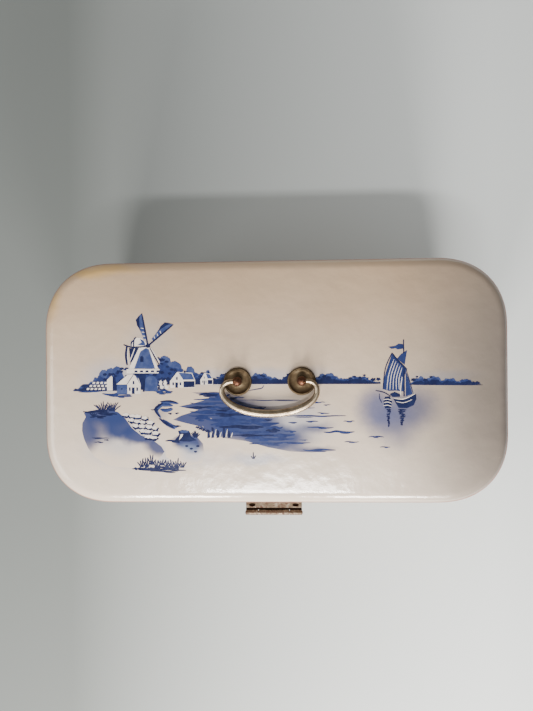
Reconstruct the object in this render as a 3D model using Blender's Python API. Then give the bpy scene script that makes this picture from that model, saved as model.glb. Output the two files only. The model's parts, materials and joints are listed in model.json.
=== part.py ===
"""Enamelled sheet-steel household box with a hinged lid.

A rounded rectangular box stands on its flat base. Its lid drops over a neck, turns on two rear hinges and
carries a swinging bail handle on two posts. A hinged hasp on the lid's front closes over a staple on the body.

Metres, +Z up, X along the length, the front at -Y. The origin is the middle of the base's underside.
"""

import math

import bmesh
import bpy
from mathutils import Matrix, Vector

# Driving sizes
LENGTH = 0.465  # outside, along X
DEPTH = 0.244  # outside, along Y
CORNER = 0.070  # how far a plan corner's curve reaches along each side
CORNER_POWER = 2.25  # superellipse power of a plan corner
BODY_HEIGHT = 0.184  # base to the parting line
SKIRT = 0.034  # straight height of the lid's wall
EDGE_RADIUS = 0.014  # roll between the lid's wall and its crown
CROWN = 0.008  # rise of the crown inside the roll
SHEET = 0.0012  # enamelled steel
GAP = 0.0003  # clearance between neighbouring pieces
CUT_EDGE = 0.0004  # softening of the sheet's cut edges
TAB_SKIN = 0.00005  # a knuckle's tab lies this far inside its leaf's faces

NECK_INSET = 0.0037  # body's wall to the outside of its neck
NECK_HEIGHT = 0.0085
PAN_FLANGE = 0.012  # upturned edge of the base pan
PAN_FOLD = 0.001  # cut of its folded corner

LEAF = 0.0012  # thickness of every hinge leaf
KNUCKLE_RADIUS = 0.0026
PIN_RADIUS = 0.0013
PIN_HEAD_RADIUS = 0.0019
PIN_HEAD = 0.0006
HINGE_LENGTH = 0.050
HINGE_KNUCKLE = 0.018  # middle knuckle of a rear hinge
HINGE_FROM_CORNER = 0.0225  # end of a rear hinge to the start of the corner's curve
HINGE_LEAF_HEIGHT = 0.018
HINGE_LEAF_CORNER = 0.002
HINGE_STANDOFF = 0.0005  # back wall to the barrel
HINGE_TAB = 0.004  # the knuckle's strip overlaps its leaf this much
HINGE_RIVET_HEIGHT = 0.0125  # pin axis to the rivets
HINGE_RIVET_SPACING = 0.030
LID_OPEN = math.radians(105)
HEEL_REACH = 0.0039  # pin's axis to the tip of the stop heel on each of the lid leaf's knuckles
HEEL_ROOT = 0.0015  # pin's axis to where the heel starts, inside the knuckle
HEEL = 0.0017  # its thickness

RIVET_RADIUS = 0.0016
RIVET_HEAD_RADIUS = 0.0030
RIVET_HEAD = 0.0014
RIVET_TAIL_RADIUS = 0.0026
RIVET_TAIL = 0.0010

HASP_LENGTH = 0.057
HASP_KNUCKLE = 0.0316  # middle knuckle, on the strap
HASP_REACH = 0.0115  # front wall to the hasp's pin axis
HASP_HEIGHT = 0.030  # parting line to the hasp's pin axis
HASP_LEG = 0.0135  # leaf's leg, down the lid's wall from the shelf
HASP_RIVET_DROP = 0.0075  # pin axis down to the leg's rivets
HASP_RIVET_SPACING = 0.040
HASP_DIMPLE = (0.0064, 0.0030)  # two ovals sunk in the shelf, along X and Y
HASP_DIMPLE_DEPTH = 0.0007
HASP_DIMPLE_SPACING = 0.0442
HASP_BEND = 0.002  # outside radius between the leg and the shelf
HASP_TAB = 0.002  # a knuckle's strip overlaps the shelf or the strap this much
STRAP_LENGTH = 0.058
STRAP_WIDTH = 0.020
STRAP_CRANK = 0.010  # the strap reaches its flat part this far below the pin's axis
STRAP_SHOULDER = 0.006  # the strap starts to narrow this far below the pin's axis
STRAP_OFF_WALL = 0.0025  # front wall to the shut strap's inner face
STRAP_SLOT = (0.0054, 0.018)
STRAP_REST = math.radians(16.5)  # the cranked strap hangs free here, out from where it is shut

STAPLE_DROP = 0.038  # hasp's pin axis to the staple
STAPLE_REACH = 0.0110  # front wall to the loop's furthest centreline
STAPLE_RADIUS = 0.005  # of the bow
STAPLE_WIRE = 0.0014
STAPLE_TAIL = 0.0012  # beyond the wall's inside
PLATE_SIZE = (0.038, 0.014)
PLATE_CORNER = 0.004
PLATE_RIVET_SPACING = 0.029

HANDLE_X = -0.0025  # the handle's holes are a little left of the middle
POST_SPACING = 0.062
ROSETTE_RADIUS = 0.0137
ROSETTE_HUB = 0.0016
ROSETTE_WAIST = 0.55  # share of the radius where the dish is deepest
ROSETTE_HUB_EDGE = (0.0010, 0.0013)  # foot of the hub: out from the collar, and up
ROSETTE_HUB_TOP = 0.0004  # top of the hub, out from the collar
ROSETTE_RIM = (  # in from the outside, and up from the lid
    (0.0000, 0.0020),
    (0.0005, 0.0027),
    (0.0013, 0.0029),
    (0.0020, 0.0025),
    (0.0029, 0.0016),
)
ROSETTE_DISH = 0.0012  # its height at the waist
ROSETTE_EDGE = 0.0005
BALL_RADIUS = 0.0047
BALL_HEIGHT = 0.0080  # lid's top to the bail's axis
SHANK_RADIUS = 0.0024
COLLAR_RADIUS = 0.0036
COLLAR = 0.0008
WASHER = 0.0010
WASHER_RADIUS = 0.006
NUT = 0.0040
NUT_RADIUS = 0.0046  # to a corner
SHANK_PROUD = 0.0012  # below the nut
BAIL_WIDTH = 0.0916  # between the centrelines of its widest places
BAIL_REACH = 0.0315  # axis to the middle of the grip
BAIL_CURL = 0.0093  # axis to the widest place
BAIL_CURL_WIDTH = 0.0088
BAIL_GRIP_RADIUS = 0.0038
BAIL_END_RADIUS = 0.0023
BAIL_PIN_INSIDE = 0.0026  # the bail's end reaches this far past the middle of the post

# Places worked out from them
HALF_X, HALF_Y = LENGTH / 2, DEPTH / 2
RIM_Z = BODY_HEIGHT + GAP
ROLL_Z = RIM_Z + SKIRT
ROLL_START = math.radians(6)  # the crown's slope where it meets the roll
CROWN_EDGE_Z = ROLL_Z + EDGE_RADIUS * math.cos(ROLL_START)
LID_TOP = CROWN_EDGE_Z + CROWN
HINGE_Y = HALF_Y + HINGE_STANDOFF + KNUCKLE_RADIUS
HINGE_Z = BODY_HEIGHT + GAP / 2
HINGE_X = HALF_X - CORNER - HINGE_FROM_CORNER - HINGE_LENGTH / 2
HASP_Y = -(HALF_Y + HASP_REACH)
HASP_Z = BODY_HEIGHT + HASP_HEIGHT
STAPLE_Z = HASP_Z - STAPLE_DROP
BAIL_Z = LID_TOP + BALL_HEIGHT
BAIL_TILT = math.asin((BALL_HEIGHT - BAIL_GRIP_RADIUS - GAP) / BAIL_REACH)
CLEAR = KNUCKLE_RADIUS + 2 * GAP  # from a pin axis to what its knuckles turn past

for old in list(bpy.data.objects):
    bpy.data.objects.remove(old, do_unlink=True)


# Materials


def material(name, colour, roughness, metallic):
    made = bpy.data.materials.new(name)
    made.use_nodes = True
    shader = made.node_tree.nodes["Principled BSDF"]
    shader.inputs["Base Color"].default_value = (*colour, 1)
    shader.inputs["Roughness"].default_value = roughness
    shader.inputs["Metallic"].default_value = metallic
    made.diffuse_color = (*colour, 1)
    return made


ENAMEL = ("enamel", (0.66, 0.61, 0.53), 0.22, 0.0)
TINNED = ("tinned steel", (0.42, 0.38, 0.34), 0.42, 1.0)
BRASS = ("aged brass", (0.30, 0.25, 0.16), 0.45, 1.0)
COPPER = ("rusty copper", (0.36, 0.20, 0.12), 0.5, 1.0)
NICKEL = ("worn nickel", (0.55, 0.50, 0.42), 0.3, 1.0)
STEEL = ("dull steel", (0.35, 0.34, 0.33), 0.5, 1.0)


# Shapes


def finish(name, mesh, finish_of, at=(0, 0, 0), turn=0.0):
    """An object of its own from a bmesh, placed at a point and turned about X."""
    bmesh.ops.recalc_face_normals(mesh, faces=mesh.faces)
    data = bpy.data.meshes.new(name)
    mesh.to_mesh(data)
    mesh.free()
    data.shade_smooth()
    data.set_sharp_from_angle(angle=math.radians(35))
    made = bpy.data.objects.new(name, data)
    bpy.context.scene.collection.objects.link(made)
    made.location = at
    made.rotation_euler = (turn, 0, 0)
    if finish_of:
        data.materials.append(material(f"{name} {finish_of[0]}", *finish_of[1:]))
    else:
        made.hide_render = True
        made.display_type = "WIRE"
    return made


def cutter(name, mesh, at=(0, 0, 0), turn=0.0):
    return finish(name, mesh, None, at, turn)


def boolean(target, other, operation="DIFFERENCE"):
    made = target.modifiers.new(other.name, "BOOLEAN")
    made.operation = operation
    made.solver = "EXACT"
    made.object = other


def loft(mesh, rings, closed=False):
    """Rings of points joined in turn. A ring of one point closes an end."""
    rows = [[mesh.verts.new(p) for p in ring] for ring in rings]
    pairs = list(zip(rows, rows[1:]))
    if closed:
        pairs.append((rows[-1], rows[0]))
    for low, high in pairs:
        count = max(len(low), len(high))
        for i in range(count):
            j = (i + 1) % count
            corners = [low[i % len(low)], low[j % len(low)], high[j % len(high)], high[i % len(high)]]
            mesh.faces.new(list(dict.fromkeys(corners)))
    return mesh


def prism(mesh, outline, start, end, place=lambda u, v, w: (w, u, v)):
    """A flat outline carried from start to end along the third direction."""
    rows = [[mesh.verts.new(place(u, v, w)) for u, v in outline] for w in (start, end)]
    for i in range(len(outline)):
        j = (i + 1) % len(outline)
        mesh.faces.new((rows[0][i], rows[0][j], rows[1][j], rows[1][i]))
    mesh.faces.new(rows[0])
    mesh.faces.new(rows[1])
    return mesh


def turned(mesh, profile, sides, at, axis=(0, 0, 1), closed=False):
    """A profile of (radius, height) turned about an axis. A radius of 0 is a point."""
    frame = Matrix.Translation(at) @ Vector((0, 0, 1)).rotation_difference(Vector(axis)).to_matrix().to_4x4()
    turns = [math.tau * i / sides for i in range(sides)]
    rings = []
    for radius, height in profile:
        around = turns if radius > 0 else [0.0]
        rings.append([frame @ Vector((radius * math.cos(a), radius * math.sin(a), height)) for a in around])
    return loft(mesh, rings, closed)


def plan(inset, z, scale=1.0, corner_steps=7):
    """The box's rounded rectangle, inset from its outside, at one height."""
    reach = CORNER - inset
    points = []
    for quarter in range(4):
        for step in range(corner_steps + 1):
            angle = math.pi / 2 * step / corner_steps
            u = max(math.cos(angle), 0.0) ** (2 / CORNER_POWER)
            v = max(math.sin(angle), 0.0) ** (2 / CORNER_POWER)
            if quarter % 2:
                u, v = v, u
            x = (HALF_X - inset - reach + reach * u) * (1 if quarter in (0, 3) else -1)
            y = (HALF_Y - inset - reach + reach * v) * (1 if quarter in (0, 1) else -1)
            points.append((x * scale, y * scale, z))
    return points


def arc(centre, radius, start, end, steps):
    """Points on a flat arc, both ends included, angles in radians."""
    return [
        (
            centre[0] + radius * math.cos(start + (end - start) * i / steps),
            centre[1] + radius * math.sin(start + (end - start) * i / steps),
        )
        for i in range(steps + 1)
    ]


def rounded(width, height, radius, centre=(0, 0), steps=4):
    """A rounded rectangle, anticlockwise from its right side."""
    points = []
    for quarter, (sx, sy) in enumerate(((1, 1), (-1, 1), (-1, -1), (1, -1))):
        middle = (centre[0] + sx * (width / 2 - radius), centre[1] + sy * (height / 2 - radius))
        points += arc(middle, radius, quarter * math.pi / 2, (quarter + 1) * math.pi / 2, steps)
    return points


def strip(route, thickness):
    """The outline of a bent strip of sheet, from the points of its middle line, with mitred bends."""
    points = [Vector(p) for p in route]
    ways = [(b - a).normalized() for a, b in zip(points, points[1:])]
    ways = [ways[0], *ways, ways[-1]]
    one, other = [], []
    for point, before, after in zip(points, ways, ways[1:]):
        across = Vector((-(before + after).y, (before + after).x)).normalized()
        mitre = across * (thickness / 2 / across.dot(Vector((-before.y, before.x))))
        one.append(tuple(point + mitre))
        other.append(tuple(point - mitre))
    return one + other[::-1]


def keyhole(low, high, reach, radius=KNUCKLE_RADIUS, steps=20):
    """A knuckle's end view: a circle at the origin with a neck from u = low to high, going to v = reach."""
    first = math.acos(max(-1.0, low / radius))
    last = math.tau + math.acos(min(1.0, high / radius))
    points = arc((0, 0), radius, first, last, steps)
    if low < -radius:
        points.insert(0, (low, 0))
    return [(low, reach), *points, (high, reach)]


def tube(mesh, path, radii, normal, sides=10):
    """A round bar along a flat path, with its own radius at each point and flat ends."""
    rings = []
    for i, point in enumerate(path):
        before, after = path[max(i - 1, 0)], path[min(i + 1, len(path) - 1)]
        along = (after - before).normalized()
        across = along.cross(normal)
        turns = [math.tau * k / sides for k in range(sides)]
        rings.append([point + radii[i] * (math.cos(a) * across + math.sin(a) * normal) for a in turns])
    return loft(mesh, [[path[0]], *rings, [path[-1]]])


# Body and base


def make_body():
    edge = CUT_EDGE
    inner_neck = NECK_INSET + SHEET
    neck_top = BODY_HEIGHT + NECK_HEIGHT
    profile = [
        (edge, 0),
        (0, edge),
        (0, BODY_HEIGHT - SHEET),
        (SHEET * 0.3, BODY_HEIGHT - SHEET * 0.3),
        (SHEET, BODY_HEIGHT),
        (NECK_INSET, BODY_HEIGHT),
        (NECK_INSET, neck_top - edge),
        (NECK_INSET + edge, neck_top),
        (inner_neck - edge, neck_top),
        (inner_neck, neck_top - edge),
        (inner_neck, BODY_HEIGHT - SHEET),
        (SHEET * 2, BODY_HEIGHT - SHEET),
        (SHEET, BODY_HEIGHT - SHEET * 2),
        (SHEET, 0),
    ]
    return finish("body_shell", loft(bmesh.new(), [plan(d, z) for d, z in profile], closed=True), ENAMEL)


def make_base_pan():
    outer, inner, fold = SHEET + GAP, 2 * SHEET + GAP, PAN_FOLD
    profile = [
        (outer + fold, 0),
        (outer, fold),
        (outer, PAN_FLANGE),
        (inner, PAN_FLANGE),
        (inner, SHEET + fold),
        (inner + fold, SHEET),
    ]
    rings = [[(0, 0, 0)], *[plan(d, z) for d, z in profile], [(0, 0, SHEET)]]
    return finish("base_pan", loft(bmesh.new(), rings), ENAMEL)


# Lid


def lid_surface(inset, crown_steps=7, roll_steps=6):
    """One face of the lid, from the middle of the crown out to the top of the straight wall."""
    radius = EDGE_RADIUS - inset
    roll = []
    for step in range(roll_steps + 1):
        angle = ROLL_START + (math.pi / 2 - ROLL_START) * step / roll_steps
        roll.append((inset + radius * (1 - math.sin(angle)), ROLL_Z + radius * math.cos(angle)))
    edge_inset, edge_z = roll[0]
    rings = [[(0, 0, edge_z + CROWN)]]
    for step in range(1, crown_steps):
        share = step / crown_steps
        rings.append(plan(edge_inset, edge_z + CROWN * (1 - share**2), share))
    return rings + [plan(d, z) for d, z in roll]


def make_lid():
    edge = CUT_EDGE
    rim = [(0, RIM_Z + edge), (edge, RIM_Z), (SHEET - edge, RIM_Z), (SHEET, RIM_Z + edge)]
    rings = lid_surface(0) + [plan(d, z) for d, z in rim] + lid_surface(SHEET)[::-1]
    return finish("lid_shell", loft(bmesh.new(), rings), ENAMEL)


# Rivets


def rivet(name, face, axis):
    """A domed rivet through a leaf and the sheet behind it. The face point is on the leaf's outside."""
    stack = LEAF + GAP + SHEET
    head = [(0, GAP + RIVET_HEAD)]
    for step in range(1, 4):
        angle = math.pi / 2 * step / 4
        head.append((RIVET_HEAD_RADIUS * math.sin(angle), GAP + RIVET_HEAD * math.cos(angle)))
    profile = [
        *head,
        (RIVET_HEAD_RADIUS, GAP),
        (RIVET_RADIUS, GAP),
        (RIVET_RADIUS, -stack - GAP),
        (RIVET_TAIL_RADIUS, -stack - GAP),
        (RIVET_TAIL_RADIUS, -stack - GAP - RIVET_TAIL),
        (0, -stack - GAP - RIVET_TAIL),
    ]
    return finish(name, turned(bmesh.new(), profile, 12, face, axis), STEEL)


def hole(mesh, face, axis, radius, depth=0.006):
    profile = [(0, depth), (radius, depth), (radius, -depth), (0, -depth)]
    return turned(mesh, profile, 16, face, axis)


# Hinges


def pin(name, x, y, z, length, finish_of):
    """A hinge pin with peened ends, clear of the barrel's ends."""
    half = length / 2 + GAP
    profile = [
        (0, -half - PIN_HEAD),
        (PIN_HEAD_RADIUS * 0.7, -half - PIN_HEAD),
        (PIN_HEAD_RADIUS, -half - PIN_HEAD * 0.4),
        (PIN_HEAD_RADIUS, -half),
        (PIN_RADIUS, -half),
    ]
    profile += [(radius, -height) for radius, height in profile[::-1]]
    return finish(name, turned(bmesh.new(), profile, 16, (x, y, z), (1, 0, 0)), finish_of)


def outer_knuckles(length, middle):
    """The x ranges of the two outer knuckles, clear of the middle one."""
    inside, outside = middle / 2 + GAP, length / 2
    return ((-outside, -inside), (inside, outside))


def hinge_leaf(name, x, side, knuckles):
    """A rear hinge's leaf, flat on the back wall. side is 1 above the pin and -1 below it."""

    def place(u, v, w):
        return (x + w, HINGE_Y + u, HINGE_Z + side * v)

    inner = HALF_Y + GAP - HINGE_Y
    height = (CLEAR + HINGE_LEAF_HEIGHT) / 2
    plate_mesh = prism(
        bmesh.new(),
        rounded(HINGE_LENGTH, HINGE_LEAF_HEIGHT - CLEAR, HINGE_LEAF_CORNER, (0, height)),
        inner,
        inner + LEAF,
        lambda u, v, w: place(w, v, u),
    )
    leaf = finish(name, plate_mesh, TINNED)
    tab = keyhole(inner + TAB_SKIN, inner + LEAF - TAB_SKIN, CLEAR + HINGE_TAB)
    for number, (start, end) in enumerate(knuckles):
        boolean(leaf, cutter(f"{name}_knuckle_{number}", prism(bmesh.new(), tab, start, end, place)), "UNION")
    return leaf, place


def make_hinge(side_name, x, bores, holes):
    """One rear hinge: the lid's leaf has the outer knuckles and the body's leaf the middle one."""
    middle = HINGE_KNUCKLE / 2
    outer = outer_knuckles(HINGE_LENGTH, HINGE_KNUCKLE)
    lid_leaf, place = hinge_leaf(f"hinge_{side_name}_lid_leaf", x, 1, outer)
    body_leaf, _ = hinge_leaf(f"hinge_{side_name}_body_leaf", x, -1, ((-middle, middle),))
    for number, (start, end) in enumerate(outer):
        heel = prism(bmesh.new(), heel_outline(), start + TAB_SKIN, end - TAB_SKIN, place)
        boolean(lid_leaf, cutter(f"hinge_{side_name}_heel_{number}", heel), "UNION")
    face = HALF_Y + GAP + LEAF
    for part, side in (("lid", 1), ("body", -1)):
        for end, way in (("a", -1), ("b", 1)):
            at = (x + way * HINGE_RIVET_SPACING / 2, face, HINGE_Z + side * HINGE_RIVET_HEIGHT)
            rivet(f"hinge_{side_name}_{part}_rivet_{end}", at, (0, 1, 0))
            hole(holes, at, (0, 1, 0), RIVET_RADIUS + GAP)
    hole(bores, (x, HINGE_Y, HINGE_Z), (1, 0, 0), PIN_RADIUS + GAP, HINGE_LENGTH)
    pin(f"hinge_{side_name}_pin", x, HINGE_Y, HINGE_Z, HINGE_LENGTH, TINNED)
    return lid_leaf, body_leaf


def heel_outline():
    """A heel's end view. It comes down on the body leaf's face when the lid is fully open."""
    face = HALF_Y + GAP + LEAF - HINGE_Y + GAP
    turn = Matrix.Rotation(LID_OPEN, 2)
    corners = ((face, -HEEL_ROOT), (face + HEEL, -HEEL_ROOT), (face + HEEL, -HEEL_REACH), (face, -HEEL_REACH))
    return [tuple(turn @ Vector(corner)) for corner in corners]


# Hasp and staple


def make_hasp_leaf(bores, holes):
    """An angle on the lid's front wall: a leg down the wall and a shelf out to the barrel."""
    wall = -(HALF_Y + GAP)
    half = LEAF / 2
    shelf_end = HASP_Y + CLEAR
    bend = arc((wall - HASP_BEND, HASP_Z + half - HASP_BEND), HASP_BEND, 0, math.pi / 2, 4)
    outline = [
        (wall, HASP_Z + half - HASP_LEG),
        *bend,
        (shelf_end, HASP_Z + half),
        (shelf_end, HASP_Z - half),
        (wall - LEAF, HASP_Z - half),
        (wall - LEAF, HASP_Z + half - HASP_LEG),
    ]
    leaf = finish("hasp_leaf", prism(bmesh.new(), outline, -HASP_LENGTH / 2, HASP_LENGTH / 2), TINNED)
    tab = keyhole(-half + TAB_SKIN, half - TAB_SKIN, CLEAR + HASP_TAB)
    for number, (start, end) in enumerate(outer_knuckles(HASP_LENGTH, HASP_KNUCKLE)):
        shape = prism(bmesh.new(), tab, start, end, lambda u, v, w: (w, HASP_Y + v, HASP_Z + u))
        boolean(leaf, cutter(f"hasp_leaf_knuckle_{number}", shape), "UNION")
    dimples = bmesh.new()
    top = HASP_Z + half
    for way in (-1, 1):
        centre = (way * HASP_DIMPLE_SPACING / 2, wall - HASP_BEND - HASP_DIMPLE[1] / 2)
        shape = rounded(*HASP_DIMPLE, HASP_DIMPLE[1] / 2.01, centre, 6)
        prism(dimples, shape, top - HASP_DIMPLE_DEPTH, top + LEAF, lambda u, v, w: (u, v, w))
    boolean(leaf, cutter("hasp_leaf_dimples", dimples))
    for end, way in (("left", -1), ("right", 1)):
        at = (way * HASP_RIVET_SPACING / 2, wall - LEAF, HASP_Z - HASP_RIVET_DROP)
        rivet(f"hasp_leaf_rivet_{end}", at, (0, -1, 0))
        hole(holes, at, (0, -1, 0), RIVET_RADIUS + GAP)
    hole(bores, (0, HASP_Y, HASP_Z), (1, 0, 0), PIN_RADIUS + GAP, HASP_LENGTH)
    pin("hasp_pin", 0, HASP_Y, HASP_Z, HASP_LENGTH, COPPER)
    return leaf


def make_strap():
    """The hasp's strap, with its origin on the pin's axis. It is cranked in, to lie flat on the wall when shut."""
    at, half, side = (0, HASP_Y, HASP_Z), LEAF / 2, HASP_KNUCKLE / 2
    flat = HASP_REACH - STRAP_OFF_WALL - half
    middle = strip([(0, 0), (flat, -STRAP_CRANK), (flat, -STRAP_LENGTH)], LEAF)
    strap = finish("hasp_strap", prism(bmesh.new(), middle, -side, side), TINNED, at, -STRAP_REST)

    neck, shoulder, over = STRAP_WIDTH / 2, STRAP_SHOULDER, LEAF
    outline = [(-neck, -shoulder - (side - neck)), (-side - over, -shoulder), (-side - over, over)]
    outline = outline + [(-u, v) for u, v in outline[::-1]]
    outline += arc((0, neck - STRAP_LENGTH), neck, 0, -math.pi, 14)
    shape = prism(bmesh.new(), outline, -flat, 2 * flat, lambda u, v, w: (u, w, v))
    boolean(strap, cutter("hasp_strap_outline", shape, at, -STRAP_REST), "INTERSECT")

    along = Vector((flat, -STRAP_CRANK)).normalized()
    across = Vector((along.y, -along.x))
    tab = [tuple(u * across + v * along) for u, v in keyhole(TAB_SKIN - half, half - TAB_SKIN, CLEAR + HASP_TAB)]
    knuckle = prism(bmesh.new(), tab, TAB_SKIN - side, side - TAB_SKIN)
    boolean(strap, cutter("hasp_strap_knuckle", knuckle, at, -STRAP_REST), "UNION")

    slot = rounded(*STRAP_SLOT, STRAP_SLOT[0] / 2.01, (0, -STAPLE_DROP), 5)
    shape = prism(bmesh.new(), slot, 0, 2 * flat, lambda u, v, w: (u, w, v))
    boolean(strap, cutter("hasp_strap_slot", shape, at, -STRAP_REST))
    return strap


def make_staple(holes):
    """A wire loop through a small plate and the body's front wall."""
    wall = -(HALF_Y + GAP)
    shape = rounded(*PLATE_SIZE, PLATE_CORNER, (0, STAPLE_Z))
    plate = finish("staple_plate", prism(bmesh.new(), shape, wall - LEAF, wall, lambda u, v, w: (u, w, v)), TINNED)
    for end, way in (("left", -1), ("right", 1)):
        at = (way * PLATE_RIVET_SPACING / 2, wall - LEAF, STAPLE_Z)
        rivet(f"staple_rivet_{end}", at, (0, -1, 0))
        hole(holes, at, (0, -1, 0), RIVET_RADIUS + GAP)
    bow_y = -(HALF_Y + STAPLE_REACH - STAPLE_RADIUS)
    tail_y = -(HALF_Y - SHEET - STAPLE_TAIL)
    bow = arc((bow_y, STAPLE_Z), STAPLE_RADIUS, math.pi / 2, 1.5 * math.pi, 12)
    route = [(tail_y, STAPLE_Z + STAPLE_RADIUS), *bow, (tail_y, STAPLE_Z - STAPLE_RADIUS)]
    path = [Vector((0, y, z)) for y, z in route]
    loop = tube(bmesh.new(), path, [STAPLE_WIRE] * len(path), Vector((1, 0, 0)))
    finish("staple_loop", loop, STEEL)
    for way in (-1, 1):
        at = (0, wall, STAPLE_Z + way * STAPLE_RADIUS)
        hole(holes, at, (0, -1, 0), STAPLE_WIRE + GAP)
    return plate


# Handle


def make_post(side_name, x, holes):
    """A ball-headed bolt through a rosette and the lid, with a washer and a nut inside."""
    hub_out, hub_up = ROSETTE_HUB_EDGE
    rosette = [
        (SHANK_RADIUS + GAP, GAP),
        (ROSETTE_RADIUS - ROSETTE_EDGE, GAP),
        (ROSETTE_RADIUS, GAP + ROSETTE_EDGE),
        *[(ROSETTE_RADIUS - inset, up) for inset, up in ROSETTE_RIM],
        (ROSETTE_RADIUS * ROSETTE_WAIST, ROSETTE_DISH),
        (COLLAR_RADIUS + hub_out, hub_up),
        (COLLAR_RADIUS + ROSETTE_HUB_TOP, GAP + ROSETTE_HUB),
        (SHANK_RADIUS + GAP, GAP + ROSETTE_HUB),
    ]
    at = (x, 0, LID_TOP)
    finish(f"rosette_{side_name}", turned(bmesh.new(), rosette, 28, at, closed=True), BRASS)

    washer_top = -SHEET - GAP
    nut_top = washer_top - WASHER - GAP
    foot = nut_top - NUT - SHANK_PROUD
    collar = GAP + ROSETTE_HUB + GAP
    profile = [
        (0, foot),
        (SHANK_RADIUS - CUT_EDGE, foot),
        (SHANK_RADIUS, foot + CUT_EDGE),
        (SHANK_RADIUS, collar),
        (COLLAR_RADIUS, collar),
        (COLLAR_RADIUS, collar + COLLAR * 0.6),
        (SHANK_RADIUS, collar + COLLAR),
    ]
    start = -math.acos(SHANK_RADIUS / BALL_RADIUS)
    profile += arc((0, BALL_HEIGHT), BALL_RADIUS, start, math.radians(75), 8)
    profile.append((0, BALL_HEIGHT + BALL_RADIUS))
    post = finish(f"post_{side_name}", turned(bmesh.new(), profile, 20, at), COPPER)
    bore = hole(bmesh.new(), (x, 0, BAIL_Z), (1, 0, 0), BAIL_END_RADIUS + GAP, 2 * BALL_RADIUS)
    boolean(post, cutter(f"post_{side_name}_bore", bore))

    inner = SHANK_RADIUS + GAP
    ring = [(inner, 0), (WASHER_RADIUS, 0), (WASHER_RADIUS, -WASHER), (inner, -WASHER)]
    washer_at = (x, 0, LID_TOP + washer_top)
    finish(f"post_washer_{side_name}", turned(bmesh.new(), ring, 24, washer_at, closed=True), STEEL)
    block = [(0, 0), (NUT_RADIUS, 0), (NUT_RADIUS, -NUT), (0, -NUT)]
    nut_at = (x, 0, LID_TOP + nut_top)
    nut = finish(f"post_nut_{side_name}", turned(bmesh.new(), block, 6, nut_at), STEEL)
    boolean(nut, cutter(f"post_nut_{side_name}_hole", hole(bmesh.new(), nut_at, (0, 0, 1), inner, 2 * NUT)))
    hole(holes, at, (0, 0, 1), inner)


def make_bail():
    """The swinging handle, lying forward. Its origin is on the axis through both posts."""
    half, curl = BAIL_WIDTH / 2, BAIL_CURL_WIDTH
    end = POST_SPACING / 2 - BAIL_PIN_INSIDE
    turn_in = half - curl
    side = [(end, 0), (end + (turn_in - end) * 0.5, 0)]
    side += [
        (turn_in + curl * math.sin(a), BAIL_CURL * (1 - math.cos(a)))
        for a in [math.pi / 2 * step / 7 for step in range(8)]
    ]
    depth = BAIL_REACH - BAIL_CURL
    bow = []
    for step in range(1, 20):
        angle = math.pi * step / 20
        bow.append((half * math.cos(angle), BAIL_CURL + depth * math.sin(angle)))
    flat = side + bow + [(-u, v) for u, v in side[::-1]]
    swell = [
        max(0.0, min(1.0, (v - BAIL_CURL * 0.5) / (BAIL_REACH - BAIL_CURL * 0.5))) ** 0.8 for _, v in flat
    ]
    radii = [BAIL_END_RADIUS + (BAIL_GRIP_RADIUS - BAIL_END_RADIUS) * share for share in swell]
    path = [Vector((u, -v, 0)) for u, v in flat]
    bar = tube(bmesh.new(), path, radii, Vector((0, 0, 1)))
    return finish("bail_handle", bar, NICKEL, (HANDLE_X, 0, BAIL_Z), BAIL_TILT)


# Assembly

rivet_holes, pin_bores = bmesh.new(), bmesh.new()
body, lid = make_body(), make_lid()
make_base_pan()
drilled, bored = [body, lid], []
for hinge_side, hinge_x in (("left", -HINGE_X), ("right", HINGE_X)):
    leaves = make_hinge(hinge_side, hinge_x, pin_bores, rivet_holes)
    drilled += leaves
    bored += leaves
hasp_leaf, hasp_strap = make_hasp_leaf(pin_bores, rivet_holes), make_strap()
drilled += [hasp_leaf, make_staple(rivet_holes)]
bored += [hasp_leaf, hasp_strap]
for post_side, way in (("left", -1), ("right", 1)):
    make_post(post_side, HANDLE_X + way * POST_SPACING / 2, rivet_holes)
make_bail()
holes_cutter = cutter("fastener_holes", rivet_holes)
bores_cutter = cutter("pin_bores", pin_bores)
for piece in drilled:
    boolean(piece, holes_cutter)
for piece in bored:
    boolean(piece, bores_cutter)
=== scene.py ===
# %% [markdown]
# # An enamelled box with a hinged lid
#
# The box is sheet steel under glossy enamel, 465 mm long, with a cobalt landscape on its lid, a swinging bail
# handle, two rear hinges and a front hasp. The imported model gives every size, place and joint. This script
# makes the surfaces: smooth sheet with rolled edges, raised enamel painting, and old, stained metal.

# %% Load the frame
import json
import math
import random

import bmesh
import bpy
from mathutils import Matrix, Vector


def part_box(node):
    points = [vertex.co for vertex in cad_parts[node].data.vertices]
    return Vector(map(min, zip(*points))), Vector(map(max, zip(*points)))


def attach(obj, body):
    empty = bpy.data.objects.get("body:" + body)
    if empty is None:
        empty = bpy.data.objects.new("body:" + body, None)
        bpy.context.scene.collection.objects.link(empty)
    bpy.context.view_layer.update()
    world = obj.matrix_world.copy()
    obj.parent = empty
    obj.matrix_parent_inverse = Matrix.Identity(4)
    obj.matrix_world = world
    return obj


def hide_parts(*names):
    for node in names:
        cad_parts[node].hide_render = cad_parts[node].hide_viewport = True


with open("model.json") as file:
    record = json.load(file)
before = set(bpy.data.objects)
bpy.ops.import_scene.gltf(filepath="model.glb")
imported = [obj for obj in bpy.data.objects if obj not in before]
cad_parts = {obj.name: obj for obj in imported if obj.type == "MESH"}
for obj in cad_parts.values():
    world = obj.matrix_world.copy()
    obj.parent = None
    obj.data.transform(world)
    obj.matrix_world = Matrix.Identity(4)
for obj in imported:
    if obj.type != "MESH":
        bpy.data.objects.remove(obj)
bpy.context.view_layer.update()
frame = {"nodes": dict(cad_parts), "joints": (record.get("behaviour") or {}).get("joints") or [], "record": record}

MM = 0.001

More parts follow.
